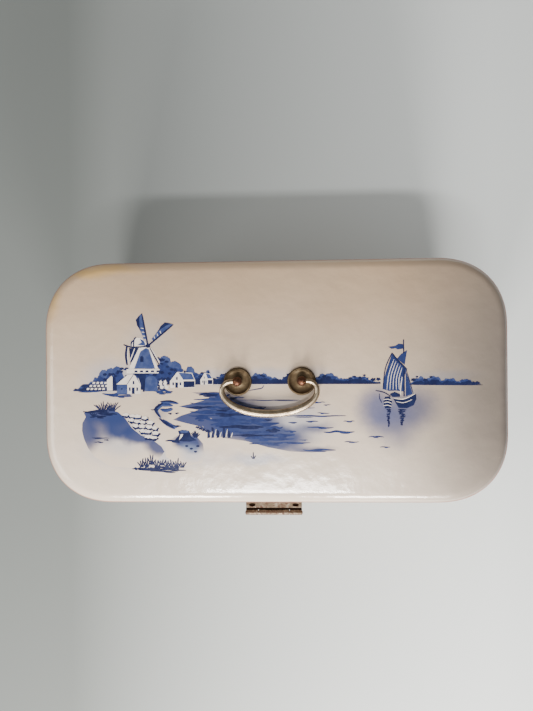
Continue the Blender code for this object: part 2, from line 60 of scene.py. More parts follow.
# %% [markdown]
# ## Sizes from the frame
#
# Only the corner of each node's box is needed to know the big sizes. The wall's thickness, the corner's
# reach, the lid's skirt and its roll are the model's own, repeated here because a box can't give them.

# %% Sizes of the sheet metal
lid_low, lid_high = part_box("lid_shell")
body_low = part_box("body_shell")[0]
HALF_X, HALF_Y = lid_high.x, lid_high.y
RIM_Z, LID_TOP = lid_low.z, lid_high.z
SHEET = 1.2 * MM
CORNER = 70 * MM
CORNER_PROFILE = 0.54  # a superellipse of power 2.25, a little squarer than a circle
ROLL_RADIUS = 14 * MM
ROLL_START = math.radians(6)  # slope of the crown where the roll takes over
SKIRT = 34 * MM
ROLL_Z = RIM_Z + SKIRT
NECK_HEIGHT = 8.5 * MM
NECK_INSET = 3.7 * MM
CROWN_EDGE = ROLL_RADIUS * (1 - math.sin(ROLL_START))  # in from the wall
CROWN = LID_TOP - ROLL_Z - ROLL_RADIUS * math.cos(ROLL_START)
print(f"lid {HALF_X * 2:.3f} x {HALF_Y * 2:.3f} m, top at {LID_TOP:.4f}, crown rises {CROWN * 1000:.1f} mm")

# %% [markdown]
# ## Camera
#
# The box is seen from straight above, from about half a metre over the lid, with the lens of a telephone
# camera. It leans two and a half degrees, is turned half a degree, and its frame is shifted up a little, as a
# hand holds it.

# %% Camera
camera_data = bpy.data.cameras.new("camera")
camera_data.sensor_width = 36
camera_data.lens = 27
camera = bpy.data.objects.new("camera", camera_data)
bpy.context.scene.collection.objects.link(camera)
camera_data.shift_y = 0.0429
lean = Matrix.Rotation(math.radians(2.5), 4, "Y") @ Matrix.Rotation(math.radians(-0.45), 4, "Z")
camera.matrix_world = Matrix.Translation((0.0171, -0.0045, ROLL_Z + 0.540)) @ lean
bpy.context.scene.camera = camera
print("camera at", tuple(round(v, 3) for v in camera.location))

# %% [markdown]
# ## Helpers for materials
#
# A material here is one Principled shader fed by a few nodes. These helpers add a node, join it up and return
# the socket to use next, so a material reads from its coordinates to its shader.


# %% Node helpers
def add(tree, kind, inputs=None, **settings):
    """A node with its settings and inputs set. An input may be a value or another node's socket."""
    node = tree.nodes.new(kind)
    for key, value in settings.items():
        setattr(node, key, value)
    for key, value in (inputs or {}).items():
        if isinstance(value, bpy.types.NodeSocket):
            tree.links.new(value, node.inputs[key])
        else:
            node.inputs[key].default_value = value
    return node


def feed(node, label, socket):
    node.id_data.links.new(socket, node.inputs[label])


def sums(tree, operation, first, second=0.0, third=0.0):
    inputs = {0: first, 1: second}
    if operation in ("MULTIPLY_ADD", "SMOOTH_MIN"):
        inputs[2] = third
    return add(tree, "ShaderNodeMath", inputs, operation=operation).outputs[0]


def vector_sums(tree, operation, *inputs):
    return add(tree, "ShaderNodeVectorMath", dict(enumerate(inputs)), operation=operation).outputs[0]


def length_of(tree, vector):
    return add(tree, "ShaderNodeVectorMath", {0: vector}, operation="LENGTH").outputs["Value"]


def ramp(tree, value, low, high, to_low=0.0, to_high=1.0):
    """A value carried smoothly from one range to another, and held at its ends."""
    inputs = {"Value": value, "From Min": low, "From Max": high, "To Min": to_low, "To Max": to_high}
    return add(tree, "ShaderNodeMapRange", inputs, interpolation_type="SMOOTHSTEP").outputs[0]


def mix(tree, share, first, second):
    inputs = {0: share, 6: first, 7: second}
    return add(tree, "ShaderNodeMix", inputs, data_type="RGBA").outputs[2]


def noise(tree, vector, scale, detail=3.0, roughness=0.5):
    inputs = {"Vector": vector, "Scale": scale, "Detail": detail, "Roughness": roughness}
    return add(tree, "ShaderNodeTexNoise", inputs).outputs["Fac"]


def new_group(name, inputs, outputs):
    """A shader group with named sockets. Returns the group and its input and output nodes."""
    tree = bpy.data.node_groups.new(name, "ShaderNodeTree")
    for label, kind, value in inputs:
        socket = tree.interface.new_socket(label, in_out="INPUT", socket_type=kind)
        if value is not None:
            socket.default_value = value
    for label, kind in outputs:
        tree.interface.new_socket(label, in_out="OUTPUT", socket_type=kind)
    return tree, tree.nodes.new("NodeGroupInput"), tree.nodes.new("NodeGroupOutput")


def place_group(tree, group, **inputs):
    node = tree.nodes.new("ShaderNodeGroup")
    node.node_tree = group
    for key, value in inputs.items():
        label = key.replace("_", " ")
        if isinstance(value, bpy.types.NodeSocket):
            tree.links.new(value, node.inputs[label])
        else:
            node.inputs[label].default_value = value
    return node


def new_material(name, **constants):
    """A Principled material and its Object coordinates."""
    made = bpy.data.materials.new(name)
    made.use_nodes = True
    tree = made.node_tree
    shader = tree.nodes["Principled BSDF"]
    for key, value in constants.items():
        shader.inputs[key.replace("_", " ")].default_value = value
    place = tree.nodes.new("ShaderNodeTexCoord").outputs["Object"]
    return made, tree, shader, place


def colour(red, green, blue):
    return (red, green, blue, 1.0)


# %% [markdown]
# ## Floor and light
#
# Two windows stand in front of the box, low and wide, so each post throws a double soft shadow backwards and
# the front roll of the lid catches a bright streak. A lamp behind lights the back of the lid without a glare.
# The floor is a pale board, darker at the left where it lies in the box's and the room's shade.

# %% Floor
floor_mesh = bmesh.new()
bmesh.ops.create_grid(floor_mesh, x_segments=2, y_segments=2, size=4)
floor_data = bpy.data.meshes.new("floor")
floor_mesh.to_mesh(floor_data)
floor_mesh.free()
floor = bpy.data.objects.new("floor", floor_data)
floor.location.z = body_low.z - 0.0002
bpy.context.scene.collection.objects.link(floor)
floor_paint, floor_tree, floor_shader, floor_place = new_material("pale floor", Roughness=0.7)
floor_axes = add(floor_tree, "ShaderNodeSeparateXYZ", {0: floor_place})
from_left = {"Value": floor_axes.outputs["X"], "From Min": -0.30, "From Max": 0.30}
rightward = add(floor_tree, "ShaderNodeMapRange", from_left).outputs[0]
# Painted shade: the floor's colour darkens from the right towards the left.
floor_painted_shade = mix(floor_tree, rightward, colour(0.14, 0.155, 0.15), colour(0.68, 0.72, 0.72))
feed(floor_shader, "Base Color", floor_painted_shade)
floor_data.materials.append(floor_paint)


# %% Lights
def window(name, place, size, power, colour):
    """A rectangular area light that looks at the lid."""
    data = bpy.data.lights.new(name, "AREA")
    data.shape = "RECTANGLE"
    data.size, data.size_y = size
    data.energy = power
    data.color = colour
    made = bpy.data.objects.new(name, data)
    made.location = place
    made.rotation_euler = (Vector((0, 0, LID_TOP)) - Vector(place)).to_track_quat("-Z", "Y").to_euler()
    bpy.context.scene.collection.objects.link(made)
    return made


window("front_left_window", (-0.36, -1.30, 0.80), (0.30, 0.36), 31, (1.0, 0.95, 0.89))
window("front_right_window", (0.30, -1.30, 0.80), (0.30, 0.36), 27, (1.0, 0.95, 0.90))
window("skylight_strip", (-0.05, -1.20, 2.22), (0.74, 0.10), 38, (1.0, 0.98, 0.95))
window("left_room", (-2.0, -0.5, 1.6), (1.4, 1.2), 30, (1.0, 0.97, 0.93))
back_room = window("back_room", (0.1, 2.1, 1.3), (2.2, 0.9), 22, (1.0, 0.96, 0.91))
back_room.visible_glossy = False
world = bpy.data.worlds.new("room")
bpy.context.scene.world = world
world.use_nodes = True
world.node_tree.nodes["Background"].inputs["Color"].default_value = (0.86, 0.88, 0.89, 1)
world.node_tree.nodes["Background"].inputs["Strength"].default_value = 0.27

# %% [markdown]
# ## Shared effects
#
# Two effects come back in many materials. **Age** is the small damage of glossy enamel: dark pinholes, fine
# scratches and an orange-peel ripple that breaks up a window's reflection. **Patina** is what air and hands
# do to plated metal: a brown bloom in large soft patches, rust in small ones, and a rougher skin there.

# %% Group: age of enamel
SCALAR, TINT, VECTOR = "NodeSocketFloat", "NodeSocketColor", "NodeSocketVector"
age, age_in, age_out = new_group(
    "enamel age",
    [
        ("Place", VECTOR, None), ("Pinholes", SCALAR, 0.12), ("Scratches", SCALAR, 0.3),
        ("Ripple", SCALAR, 0.12),
    ],
    [("Specks", SCALAR), ("Scratched", SCALAR), ("Normal", VECTOR)],
)
age_place = age_in.outputs["Place"]
cells = add(age, "ShaderNodeTexVoronoi", {"Vector": age_place, "Scale": 75.0, "Randomness": 1.0})
cell_pick = add(age, "ShaderNodeSeparateColor", {0: cells.outputs["Color"]}).outputs[0]
hole_size = ramp(age, cell_pick, 0.86, 1.0, 0.0, 1.0)
hole_reach = sums(age, "MULTIPLY", hole_size, age_in.outputs["Pinholes"])
specks = sums(age, "LESS_THAN", cells.outputs["Distance"], hole_reach)
along_scratches = {"Vector": age_place, "Rotation": (0, 0, 0.5), "Scale": (60, 900, 300)}
streaks = add(age, "ShaderNodeMapping", along_scratches)
scratch_noise = noise(age, streaks.outputs[0], 1.0, 2.0)
scratched = ramp(age, scratch_noise, 0.70, 0.78)
feed(age_out, "Specks", specks)
feed(age_out, "Scratched", sums(age, "MULTIPLY", scratched, age_in.outputs["Scratches"]))
peel = noise(age, age_place, 150.0, 2.0)
swell = noise(age, age_place, 28.0, 2.0)
height = sums(age, "MULTIPLY_ADD", swell, 6.0, peel)
rippled = {"Strength": age_in.outputs["Ripple"], "Distance": 0.0006, "Height": height}
bumped = add(age, "ShaderNodeBump", rippled)
feed(age_out, "Normal", bumped.outputs[0])
print("group", age.name, [s.name for s in age.interface.items_tree])

# %% Group: patina of plated metal
patina, patina_in, patina_out = new_group(
    "metal patina",
    [
        ("Place", VECTOR, None),
        ("Bright", TINT, colour(0.6, 0.56, 0.48)),
        ("Dull", TINT, colour(0.25, 0.19, 0.13)),
        ("Rust", TINT, colour(0.20, 0.07, 0.03)),
        ("Patch size", SCALAR, 120.0),
        ("Dulled", SCALAR, 0.5),
        ("Rusted", SCALAR, 0.3),
        ("Smooth", SCALAR, 0.28),
    ],
    [("Color", TINT), ("Roughness", SCALAR), ("Bare", SCALAR), ("Normal", VECTOR)],
)
metal_place = patina_in.outputs["Place"]
bloom = noise(patina, metal_place, patina_in.outputs["Patch size"], 5.0, 0.6)
bloom_edge = sums(patina, "SUBTRACT", 0.95, patina_in.outputs["Dulled"])
dulled = ramp(patina, sums(patina, "SUBTRACT", bloom, bloom_edge), -0.35, 0.15)
grain_scale = sums(patina, "MULTIPLY", patina_in.outputs["Patch size"], 4.5)
grain = noise(patina, metal_place, grain_scale, 6.0, 0.65)
rust_edge = sums(patina, "MULTIPLY_ADD", patina_in.outputs["Rusted"], -0.35, 0.72)
rusted = ramp(patina, sums(patina, "SUBTRACT", grain, rust_edge), -0.05, 0.06)
toned = mix(patina, dulled, patina_in.outputs["Bright"], patina_in.outputs["Dull"])
feed(patina_out, "Color", mix(patina, rusted, toned, patina_in.outputs["Rust"]))
rough = sums(patina, "MULTIPLY_ADD", dulled, 0.16, patina_in.outputs["Smooth"])
feed(patina_out, "Roughness", sums(patina, "MULTIPLY_ADD", rusted, 0.35, rough))
feed(patina_out, "Bare", sums(patina, "MULTIPLY_ADD", rusted, -0.75, 1.0))
pitted = add(patina, "ShaderNodeBump", {"Strength": 0.35, "Distance": 0.0003, "Height": grain})
feed(patina_out, "Normal", pitted.outputs[0])
print("group", patina.name, [s.name for s in patina.interface.items_tree])


# %% [markdown]
# ## Metals
#
# Five metals share the patina group. The bail was nickel plated and is worn to a warm grey by hands. The
# rosettes are brass gone olive. The posts and the hasp's pin are copper coloured with rust. The leaves are
# tinned steel, and the rivets, nuts and washers are plain dull steel.

# %% Metal materials
def metal(name, bright, dull, rust, patch, dulled, rusted, smooth):
    made, tree, shader, place = new_material(name, Metallic=1.0)
    skin = place_group(
        tree, patina, Place=place, Bright=bright, Dull=dull, Rust=rust,
        Patch_size=patch, Dulled=dulled, Rusted=rusted, Smooth=smooth,
    )
    for end, start in (
        ("Base Color", "Color"), ("Roughness", "Roughness"), ("Metallic", "Bare"), ("Normal", "Normal"),
    ):
        feed(shader, end, skin.outputs[start])
    return made


rust_brown = colour(0.085, 0.035, 0.02)
worn_nickel = metal(
    "worn nickel", colour(0.72, 0.60, 0.43), colour(0.32, 0.235, 0.15), rust_brown, 90.0, 0.42, 0.08, 0.22
)
aged_brass = metal(
    "aged brass", colour(0.27, 0.205, 0.125), colour(0.10, 0.07, 0.04), rust_brown, 140.0, 0.50, 0.22, 0.46
)
rusty_copper = metal(
    "rusty copper", colour(0.26, 0.12, 0.06), colour(0.085, 0.035, 0.02), rust_brown, 260.0, 0.45, 0.45, 0.28
)
tinned_steel = metal(
    "tinned steel", colour(0.44, 0.36, 0.28), colour(0.13, 0.095, 0.065), rust_brown, 130.0, 0.50, 0.50, 0.34
)
dull_steel = metal(
    "dull steel", colour(0.45, 0.43, 0.41), colour(0.20, 0.17, 0.15), rust_brown, 200.0, 0.50, 0.35, 0.40
)


def shaded_ovals_and_crease():
    """Tinned steel like the rest, with painted shade in the hasp's two sunken ovals and along its crease."""
    made = tinned_steel.copy()
    made.name = "hasp steel"
    tree = made.node_tree
    shader = tree.nodes["Principled BSDF"]
    place = add(tree, "ShaderNodeTexCoord").outputs["Object"]
    axes = add(tree, "ShaderNodeSeparateXYZ", {0: place})
    outwards = sums(tree, "ABSOLUTE", axes.outputs["X"])
    along = sums(tree, "ABSOLUTE", sums(tree, "SUBTRACT", outwards, 0.0221))
    across = sums(tree, "ABSOLUTE", sums(tree, "SUBTRACT", axes.outputs["Y"], -HALF_Y - 0.0038))
    far = add(tree, "ShaderNodeCombineXYZ", {0: sums(tree, "MULTIPLY", along, 0.5), 1: across})
    span = length_of(tree, far.outputs[0])
    oval_shade = ramp(tree, span, 0.0019, 0.0014)
    crease = sums(tree, "ABSOLUTE", sums(tree, "SUBTRACT", axes.outputs["Y"], -HALF_Y - 0.0078))
    painted_recess_shade = sums(tree, "MAXIMUM", oval_shade, ramp(tree, crease, 0.0014, 0.0009))
    old = shader.inputs["Base Color"].links[0].from_socket
    # Painted shade: the ovals and the crease are darkened nearly to black and lose their metal shine.
    feed(shader, "Base Color", mix(tree, painted_recess_shade, old, colour(0.012, 0.006, 0.004)))
    bare = shader.inputs["Metallic"].links[0].from_socket
    unshaded = sums(tree, "SUBTRACT", 1.0, painted_recess_shade)
    feed(shader, "Metallic", sums(tree, "MULTIPLY", bare, unshaded))
    feed(shader, "Specular IOR Level", sums(tree, "MULTIPLY", unshaded, 0.5))
    return made


hasp_steel_with_painted_shade = shaded_ovals_and_crease()
print("metals:", [m.name for m in (worn_nickel, aged_brass, rusty_copper, tinned_steel, dull_steel)])

# %% [markdown]
# ## Enamel
#
# The lid is a warm off-white, with painted shade that makes it darker and browner towards the back, by the
# hinges. Cobalt was sprayed on before the brushwork, as soft patches under the water, the banks, the trees and
# the boat. Each patch is a spot of the airbrush group. Two grey spots of that group are painted shade over the
# right end of the lid and its roll. The roll of the lid's edge is worn to a thin pinkish brown band: it fades in
# over 3 mm below, out over 1 mm above, and shifts a little at the ends of the lid. The body is worn in the same
# way at its foot.

# %% Group: airbrush spot
spray, spray_in, spray_out = new_group(
    "airbrush spot",
    [
        ("Place", VECTOR, None), ("Centre", VECTOR, (0, 0, 0)), ("Reach", VECTOR, (0.05, 0.03, 1.0)),
        ("Core", SCALAR, 0.2), ("Strength", SCALAR, 0.5),
    ],
    [("Mask", SCALAR)],
)
wobble_inputs = {"Vector": spray_in.outputs["Place"], "Scale": 38.0, "Detail": 3.0}
wobble = add(spray, "ShaderNodeTexNoise", wobble_inputs)
wobbled = vector_sums(spray, "SUBTRACT", wobble.outputs["Color"], (0.5, 0.5, 0.5))
shifted = vector_sums(spray, "MULTIPLY_ADD", wobbled, (0.016, 0.016, 0.0), spray_in.outputs["Place"])
from_centre = vector_sums(spray, "SUBTRACT", shifted, spray_in.outputs["Centre"])
shared = vector_sums(spray, "DIVIDE", from_centre, spray_in.outputs["Reach"])
flat_share = vector_sums(spray, "MULTIPLY", shared, (1, 1, 0))
distance = length_of(spray, flat_share)
spot = ramp(spray, distance, 1.0, spray_in.outputs["Core"])
feed(spray_out, "Mask", sums(spray, "MULTIPLY", spot, spray_in.outputs["Strength"]))
print("group", spray.name)


# %% Group: enamel tone
tone, tone_in, tone_out = new_group("enamel tone", [("Place", VECTOR, None)], [("Color", TINT)])
tone_axes = add(tone, "ShaderNodeSeparateXYZ", {0: tone_in.outputs["Place"]})
# Painted shade: the tone grows darker and browner towards the back; the cloud is the enamel's own uneven tone.
back_shade = ramp(tone, tone_axes.outputs["Y"], -HALF_Y, HALF_Y)
cloud = noise(tone, tone_in.outputs["Place"], 7.0, 3.0, 0.55)
cloud_and_back_shade = sums(tone, "MULTIPLY_ADD", cloud, 0.45, sums(tone, "MULTIPLY_ADD", back_shade, 0.95, -0.22))
cream, tan = colour(0.63, 0.535, 0.44), colour(0.43, 0.305, 0.195)
feed(tone_out, "Color", mix(tone, cloud_and_back_shade, cream, tan))


def sprayed(tree, skin, place, spots):
    """A colour with each of the spots laid over it: sprayed paint, and on the lid painted shade too."""
    for tint, centre, reach, core, strength in spots:
        mask = place_group(
            tree, spray, Place=place, Centre=(*[c * MM for c in centre], 0),
            Reach=(*[r * MM for r in reach], 1), Core=core, Strength=strength,
        )
        skin = mix(tree, mask.outputs["Mask"], skin, tint)
    return skin


# %% Enamel materials
def enamel(name, spots, worn_from, worn_to, edge_colour):
    """Glossy off-white enamel with sprayed spots, some painted shade, and a worn band fading out between two
    heights.
    """
    made, tree, shader, place = new_material(name, IOR=1.52, Coat_Roughness=0.05)
    axes = add(tree, "ShaderNodeSeparateXYZ", {0: place})
    toned = place_group(tree, tone, Place=place).outputs["Color"]
    skin = sprayed(tree, toned, place, spots)
    aged = place_group(tree, age, Place=place, Pinholes=0.0011, Scratches=0.30, Ripple=0.34)
    skin = mix(tree, sums(tree, "MULTIPLY", aged.outputs["Specks"], 0.8), skin, colour(0.07, 0.05, 0.045))
    skin = mix(tree, aged.outputs["Scratched"], skin, colour(0.34, 0.28, 0.23))
    ragged = sums(tree, "MULTIPLY_ADD", noise(tree, place, 70.0, 4.0), 0.0016, axes.outputs["Z"])
    sideways = ramp(tree, sums(tree, "ABSOLUTE", axes.outputs["X"]), 0.15, 0.23)
    ragged = sums(tree, "MULTIPLY_ADD", sideways, -0.0022, ragged)
    above = ramp(tree, ragged, worn_from - 0.0056, worn_from - 0.0026)
    worn = sums(tree, "MULTIPLY", above, ramp(tree, ragged, worn_to + 0.0008, worn_from + 0.0008))
    skin = mix(tree, sums(tree, "MULTIPLY", worn, 0.9), skin, edge_colour)
    chips = ramp(tree, noise(tree, place, 240.0, 5.0, 0.7), 0.62, 0.67)
    chipped = sums(tree, "MULTIPLY", chips, worn)
    skin = mix(tree, chipped, skin, colour(0.06, 0.03, 0.025))
    feed(shader, "Base Color", skin)
    smudge = noise(tree, place, 22.0, 5.0, 0.6)
    rough = sums(tree, "MULTIPLY_ADD", smudge, 0.16, 0.12)
    feed(shader, "Roughness", sums(tree, "MULTIPLY_ADD", worn, 0.35, rough))
    feed(shader, "Coat Weight", sums(tree, "MULTIPLY_ADD", worn, -0.3, 0.3))
    feed(shader, "Normal", aged.outputs["Normal"])
    return made


cobalt_spray = colour(0.022, 0.036, 0.120)
pale_spray = colour(0.26, 0.32, 0.45)
violet_spray = colour(0.060, 0.078, 0.195)
amber_stain = colour(0.50, 0.30, 0.06)
lid_sprays_and_painted_shade = (
    (pale_spray, (-20, 4), (125, 13), 0.1, 0.45), (pale_spray, (165, 3), (50, 11), 0.1, 0.45),
    (pale_spray, (-155, 4), (50, 28), 0.1, 0.50), (pale_spray, (-122, 42), (36, 34), 0.1, 0.22),
    (pale_spray, (-150, -62), (52, 34), 0.1, 0.50), (pale_spray, (-100, -74), (90, 18), 0.0, 0.40),
    (cobalt_spray, (-112, -30), (14, 15), 0.1, 0.35), (violet_spray, (104, -28), (33, 29), 0.20, 0.84),
    (violet_spray, (137, -27), (33, 29), 0.20, 0.84), (violet_spray, (120, -44), (32, 33), 0.10, 0.78),
    (pale_spray, (-15, -77), (42, 9), 0.1, 0.50), (amber_stain, (-180, 112), (75, 10), 0.0, 0.55),
    (amber_stain, (-222, 84), (12, 36), 0.0, 0.45),
    # Painted shade: the last two grey spots darken the right end of the lid and its steep roll.
    (colour(0.13, 0.11, 0.095), (250, 0), (175, 340), 0.15, 0.92),
    (colour(0.10, 0.08, 0.08), (238, 0), (22, 220), 0.1, 0.60),
)
pink_brown, iron_brown = colour(0.30, 0.14, 0.10), colour(0.10, 0.05, 0.04)
lid_enamel = enamel("lid enamel", lid_sprays_and_painted_shade, ROLL_Z + 0.0066, ROLL_Z + 0.0076, pink_brown)
body_enamel = enamel("body enamel", (), 0.0008, 0.0025, iron_brown)
print("enamels:", lid_enamel.name, "with", len(lid_sprays_and_painted_shade), "sprayed spots, and", body_enamel.name)

# %% [markdown]
# ## The pressed shells
#
# All three pressings share the box's outline, a rounded rectangle. It's a cube whose upright edges are
# bevelled, cut down to one ring of edges. The ring is then extruded again and again, and after each extrusion
# it's drawn in, scaled or lifted, just as a press draws sheet over a form. Both faces of the sheet are made.


# %% Sheet helpers
def new_piece(name, mesh, material, body, stands_for=(), sharp=35):
    """An object of its own from a bmesh, riding on its body, in place of CAD nodes."""
    bmesh.ops.recalc_face_normals(mesh, faces=mesh.faces)
    data = bpy.data.meshes.new(name)
    mesh.to_mesh(data)
    mesh.free()
    data.shade_smooth()
    data.set_sharp_from_angle(angle=math.radians(sharp))
    data.materials.append(material)
    made = bpy.data.objects.new(name, data)
    bpy.context.scene.collection.objects.link(made)
    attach(made, body)
    if stands_for:
        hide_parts(*stands_for)
    return made


def outline_ring(mesh, segments=24):
    """The box's outline as one ring of edges. Each corner of it remembers its place on the plan."""
    bmesh.ops.create_cube(mesh, size=1, matrix=Matrix.Diagonal((2 * HALF_X, 2 * HALF_Y, 1, 1)))
    upright = [e for e in mesh.edges if abs(e.verts[0].co.z - e.verts[1].co.z) > 0.5]
    bmesh.ops.bevel(
        mesh, geom=upright, offset=CORNER, segments=segments, affect="EDGES", profile=CORNER_PROFILE,
        material=-1,
    )
    bmesh.ops.delete(mesh, geom=[v for v in mesh.verts if v.co.z > 0], context="VERTS")
    bmesh.ops.delete(mesh, geom=mesh.faces[:], context="FACES_ONLY")
    plan = mesh.verts.layers.float_vector.new("plan")
    for vert in mesh.verts:
        vert[plan] = vert.co
    return mesh.edges[:]


def draw_in(mesh, verts, inset, z, scale=1.0):
    """Moves a ring to an inset of the outline, scaled, at a height. Corners shrink about their centres."""
    plan = mesh.verts.layers.float_vector["plan"]
    for vert in verts:
        x, y, _ = vert[plan]
        centre_x = math.copysign(HALF_X - CORNER, x)
        centre_y = math.copysign(HALF_Y - CORNER, y)
        keep = 1 - inset / CORNER
        vert.co = (
            (centre_x + (x - centre_x) * keep) * scale,
            (centre_y + (y - centre_y) * keep) * scale,
            z,
        )


def press(mesh, ring, steps, close_at=None):
    """Extrudes a ring through (inset, height, scale) steps, then gathers it to a point if it ends in one."""
    verts = []
    for step in steps:
        made = bmesh.ops.extrude_edge_only(mesh, edges=ring)["geom"]
        ring = [e for e in made if isinstance(e, bmesh.types.BMEdge)]
        verts = [v for v in made if isinstance(v, bmesh.types.BMVert)]
        draw_in(mesh, verts, *step)
    if close_at is not None:
        bmesh.ops.pointmerge(mesh, verts=verts, merge_co=(0, 0, close_at))
    return ring


def lid_steps(inset, rings=22, roll_steps=14):
    """One face of the lid, from the top of its wall over the roll and in along the crown."""
    radius = ROLL_RADIUS - inset
    steps = []
    for step in range(roll_steps, -1, -1):
        angle = ROLL_START + (math.pi / 2 - ROLL_START) * step / roll_steps
        steps.append((inset + radius * (1 - math.sin(angle)), ROLL_Z + radius * math.cos(angle)))
    edge, edge_z = steps[-1]
    for step in range(rings - 1, 0, -1):
        share = step / rings
        steps.append((edge, edge_z + CROWN * (1 - share**2), share))
    return steps, edge_z + CROWN


# %% Lid
lid_mesh = bmesh.new()
lid_ring = outline_ring(lid_mesh)
draw_in(lid_mesh, lid_mesh.verts, 0.0004, RIM_Z)
outside, outside_top = lid_steps(0)
inside, inside_top = lid_steps(SHEET)
rim_up = [(0.0001, RIM_Z + 0.0001), (0, RIM_Z + 0.0004)]
press(lid_mesh, lid_ring, rim_up + outside, outside_top)
rim_in = [(SHEET - 0.0004, RIM_Z), (SHEET - 0.0001, RIM_Z + 0.0001), (SHEET, RIM_Z + 0.0004)]
press(lid_mesh, lid_ring, rim_in + inside, inside_top)
lid_piece = new_piece("lid", lid_mesh, lid_enamel, "lid", ["lid_shell"])
print("lid:", len(lid_piece.data.polygons), "faces")

# %% Body and base pan
body_mesh = bmesh.new()
body_ring = outline_ring(body_mesh)
start = (0.0004, body_low.z)
draw_in(body_mesh, body_mesh.verts, *start)
rim = RIM_Z - 0.0003
neck_in, neck_top = NECK_INSET + SHEET, rim + NECK_HEIGHT
fold = [math.pi / 2 * step / 5 for step in range(6)]
body_steps = [
    (0.0001, 0.0001), (0, 0.0004),
    (0, rim - SHEET * 1.2),
    *[(SHEET * (1 - math.cos(a)), rim - SHEET * (1 - math.sin(a))) for a in fold],
    (NECK_INSET, rim), (NECK_INSET, neck_top - 0.0004),
    (NECK_INSET + 0.0004, neck_top), (neck_in - 0.0004, neck_top),
    (neck_in, neck_top - 0.0004), (neck_in, rim - SHEET),
    (SHEET * 2, rim - SHEET), (SHEET, rim - SHEET * 2),
    (SHEET, 0.0),
    start,
]
press(body_mesh, body_ring, body_steps)
bmesh.ops.remove_doubles(body_mesh, verts=body_mesh.verts, dist=1e-6)
new_piece("body", body_mesh, body_enamel, "box", ["body_shell"])

pan_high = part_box("base_pan")[1]
pan_edge, flange = HALF_X - pan_high.x, pan_high.z
pan_mesh = bmesh.new()
pan_ring = outline_ring(pan_mesh)
draw_in(pan_mesh, pan_mesh.verts, pan_edge + 0.001, 0)
corner_out = [(pan_edge + 0.001 * (1 - math.sin(a)), 0.001 * (1 - math.cos(a))) for a in fold[1:]]
corner_in = [
    (pan_edge + SHEET + 0.001 * (1 - math.cos(a)), SHEET + 0.001 * (1 - math.sin(a))) for a in fold
]
wall = [(pan_edge, flange), (pan_edge + SHEET, flange)]
press(pan_mesh, pan_ring, corner_out + wall + corner_in + [(pan_edge + 0.0022, SHEET, 0.02)], SHEET)
press(pan_mesh, pan_ring, [(pan_edge + 0.001, 0, 0.02)], 0.0)
new_piece("base", pan_mesh, body_enamel, "box", ["base_pan"])
print("body and base pan pressed")

# %% [markdown]
# ## Turned and bent fittings
#
# Rosettes, posts, pins, washers and rivets are turned, so each is a half section spun about its axis. The
# bail and the staple are bent rod: a ring of edges carried along a path, thicker where the path says so.


# %% Turning and bending
def turn_about(mesh, section, at, axis, steps=40, closed=False):
    """Spins a half section of (radius, height) points about an axis through a point."""
    axis = Vector(axis)
    side = axis.orthogonal().normalized()
    verts = [mesh.verts.new(Vector(at) + side * radius + axis * height) for radius, height in section]
    pairs = list(zip(verts, verts[1:]))
    if closed:
        pairs.append((verts[-1], verts[0]))
    edges = [mesh.edges.new(pair) for pair in pairs]
    bmesh.ops.spin(
        mesh, geom=verts + edges, cent=at, axis=axis, angle=math.tau, steps=steps, use_merge=True,
        use_duplicate=False,
    )
    bmesh.ops.remove_doubles(mesh, verts=mesh.verts, dist=1e-7)
    return mesh


def bend_rod(mesh, path, radii, normal, sides=28):
    """A rod along a flat path: a ring of edges, extruded from point to point, with its ends closed."""
    shape = mesh.verts.layers.float_vector.new("ring")
    bmesh.ops.create_circle(mesh, cap_ends=False, radius=1.0, segments=sides)
    ring, edges = mesh.verts[:], mesh.edges[:]
    for vert in ring:
        vert[shape] = vert.co
    caps = []
    for i, point in enumerate(path):
        if i:
            made = bmesh.ops.extrude_edge_only(mesh, edges=edges)["geom"]
            edges = [e for e in made if isinstance(e, bmesh.types.BMEdge)]
            ring = [v for v in made if isinstance(v, bmesh.types.BMVert)]
        along = (path[min(i + 1, len(path) - 1)] - path[max(i - 1, 0)]).normalized()
        across = along.cross(normal)
        for vert in ring:
            vert.co = point + radii[i] * (vert[shape].x * across + vert[shape].y * normal)
        if i in (0, len(path) - 1):
            caps += edges
    bmesh.ops.edgeloop_fill(mesh, edges=caps)
    return mesh


def arc_points(centre, radius, start, end, steps):
    turns = [start + (end - start) * i / steps for i in range(steps + 1)]
    return [(centre[0] + radius * math.cos(a), centre[1] + radius * math.sin(a)) for a in turns]


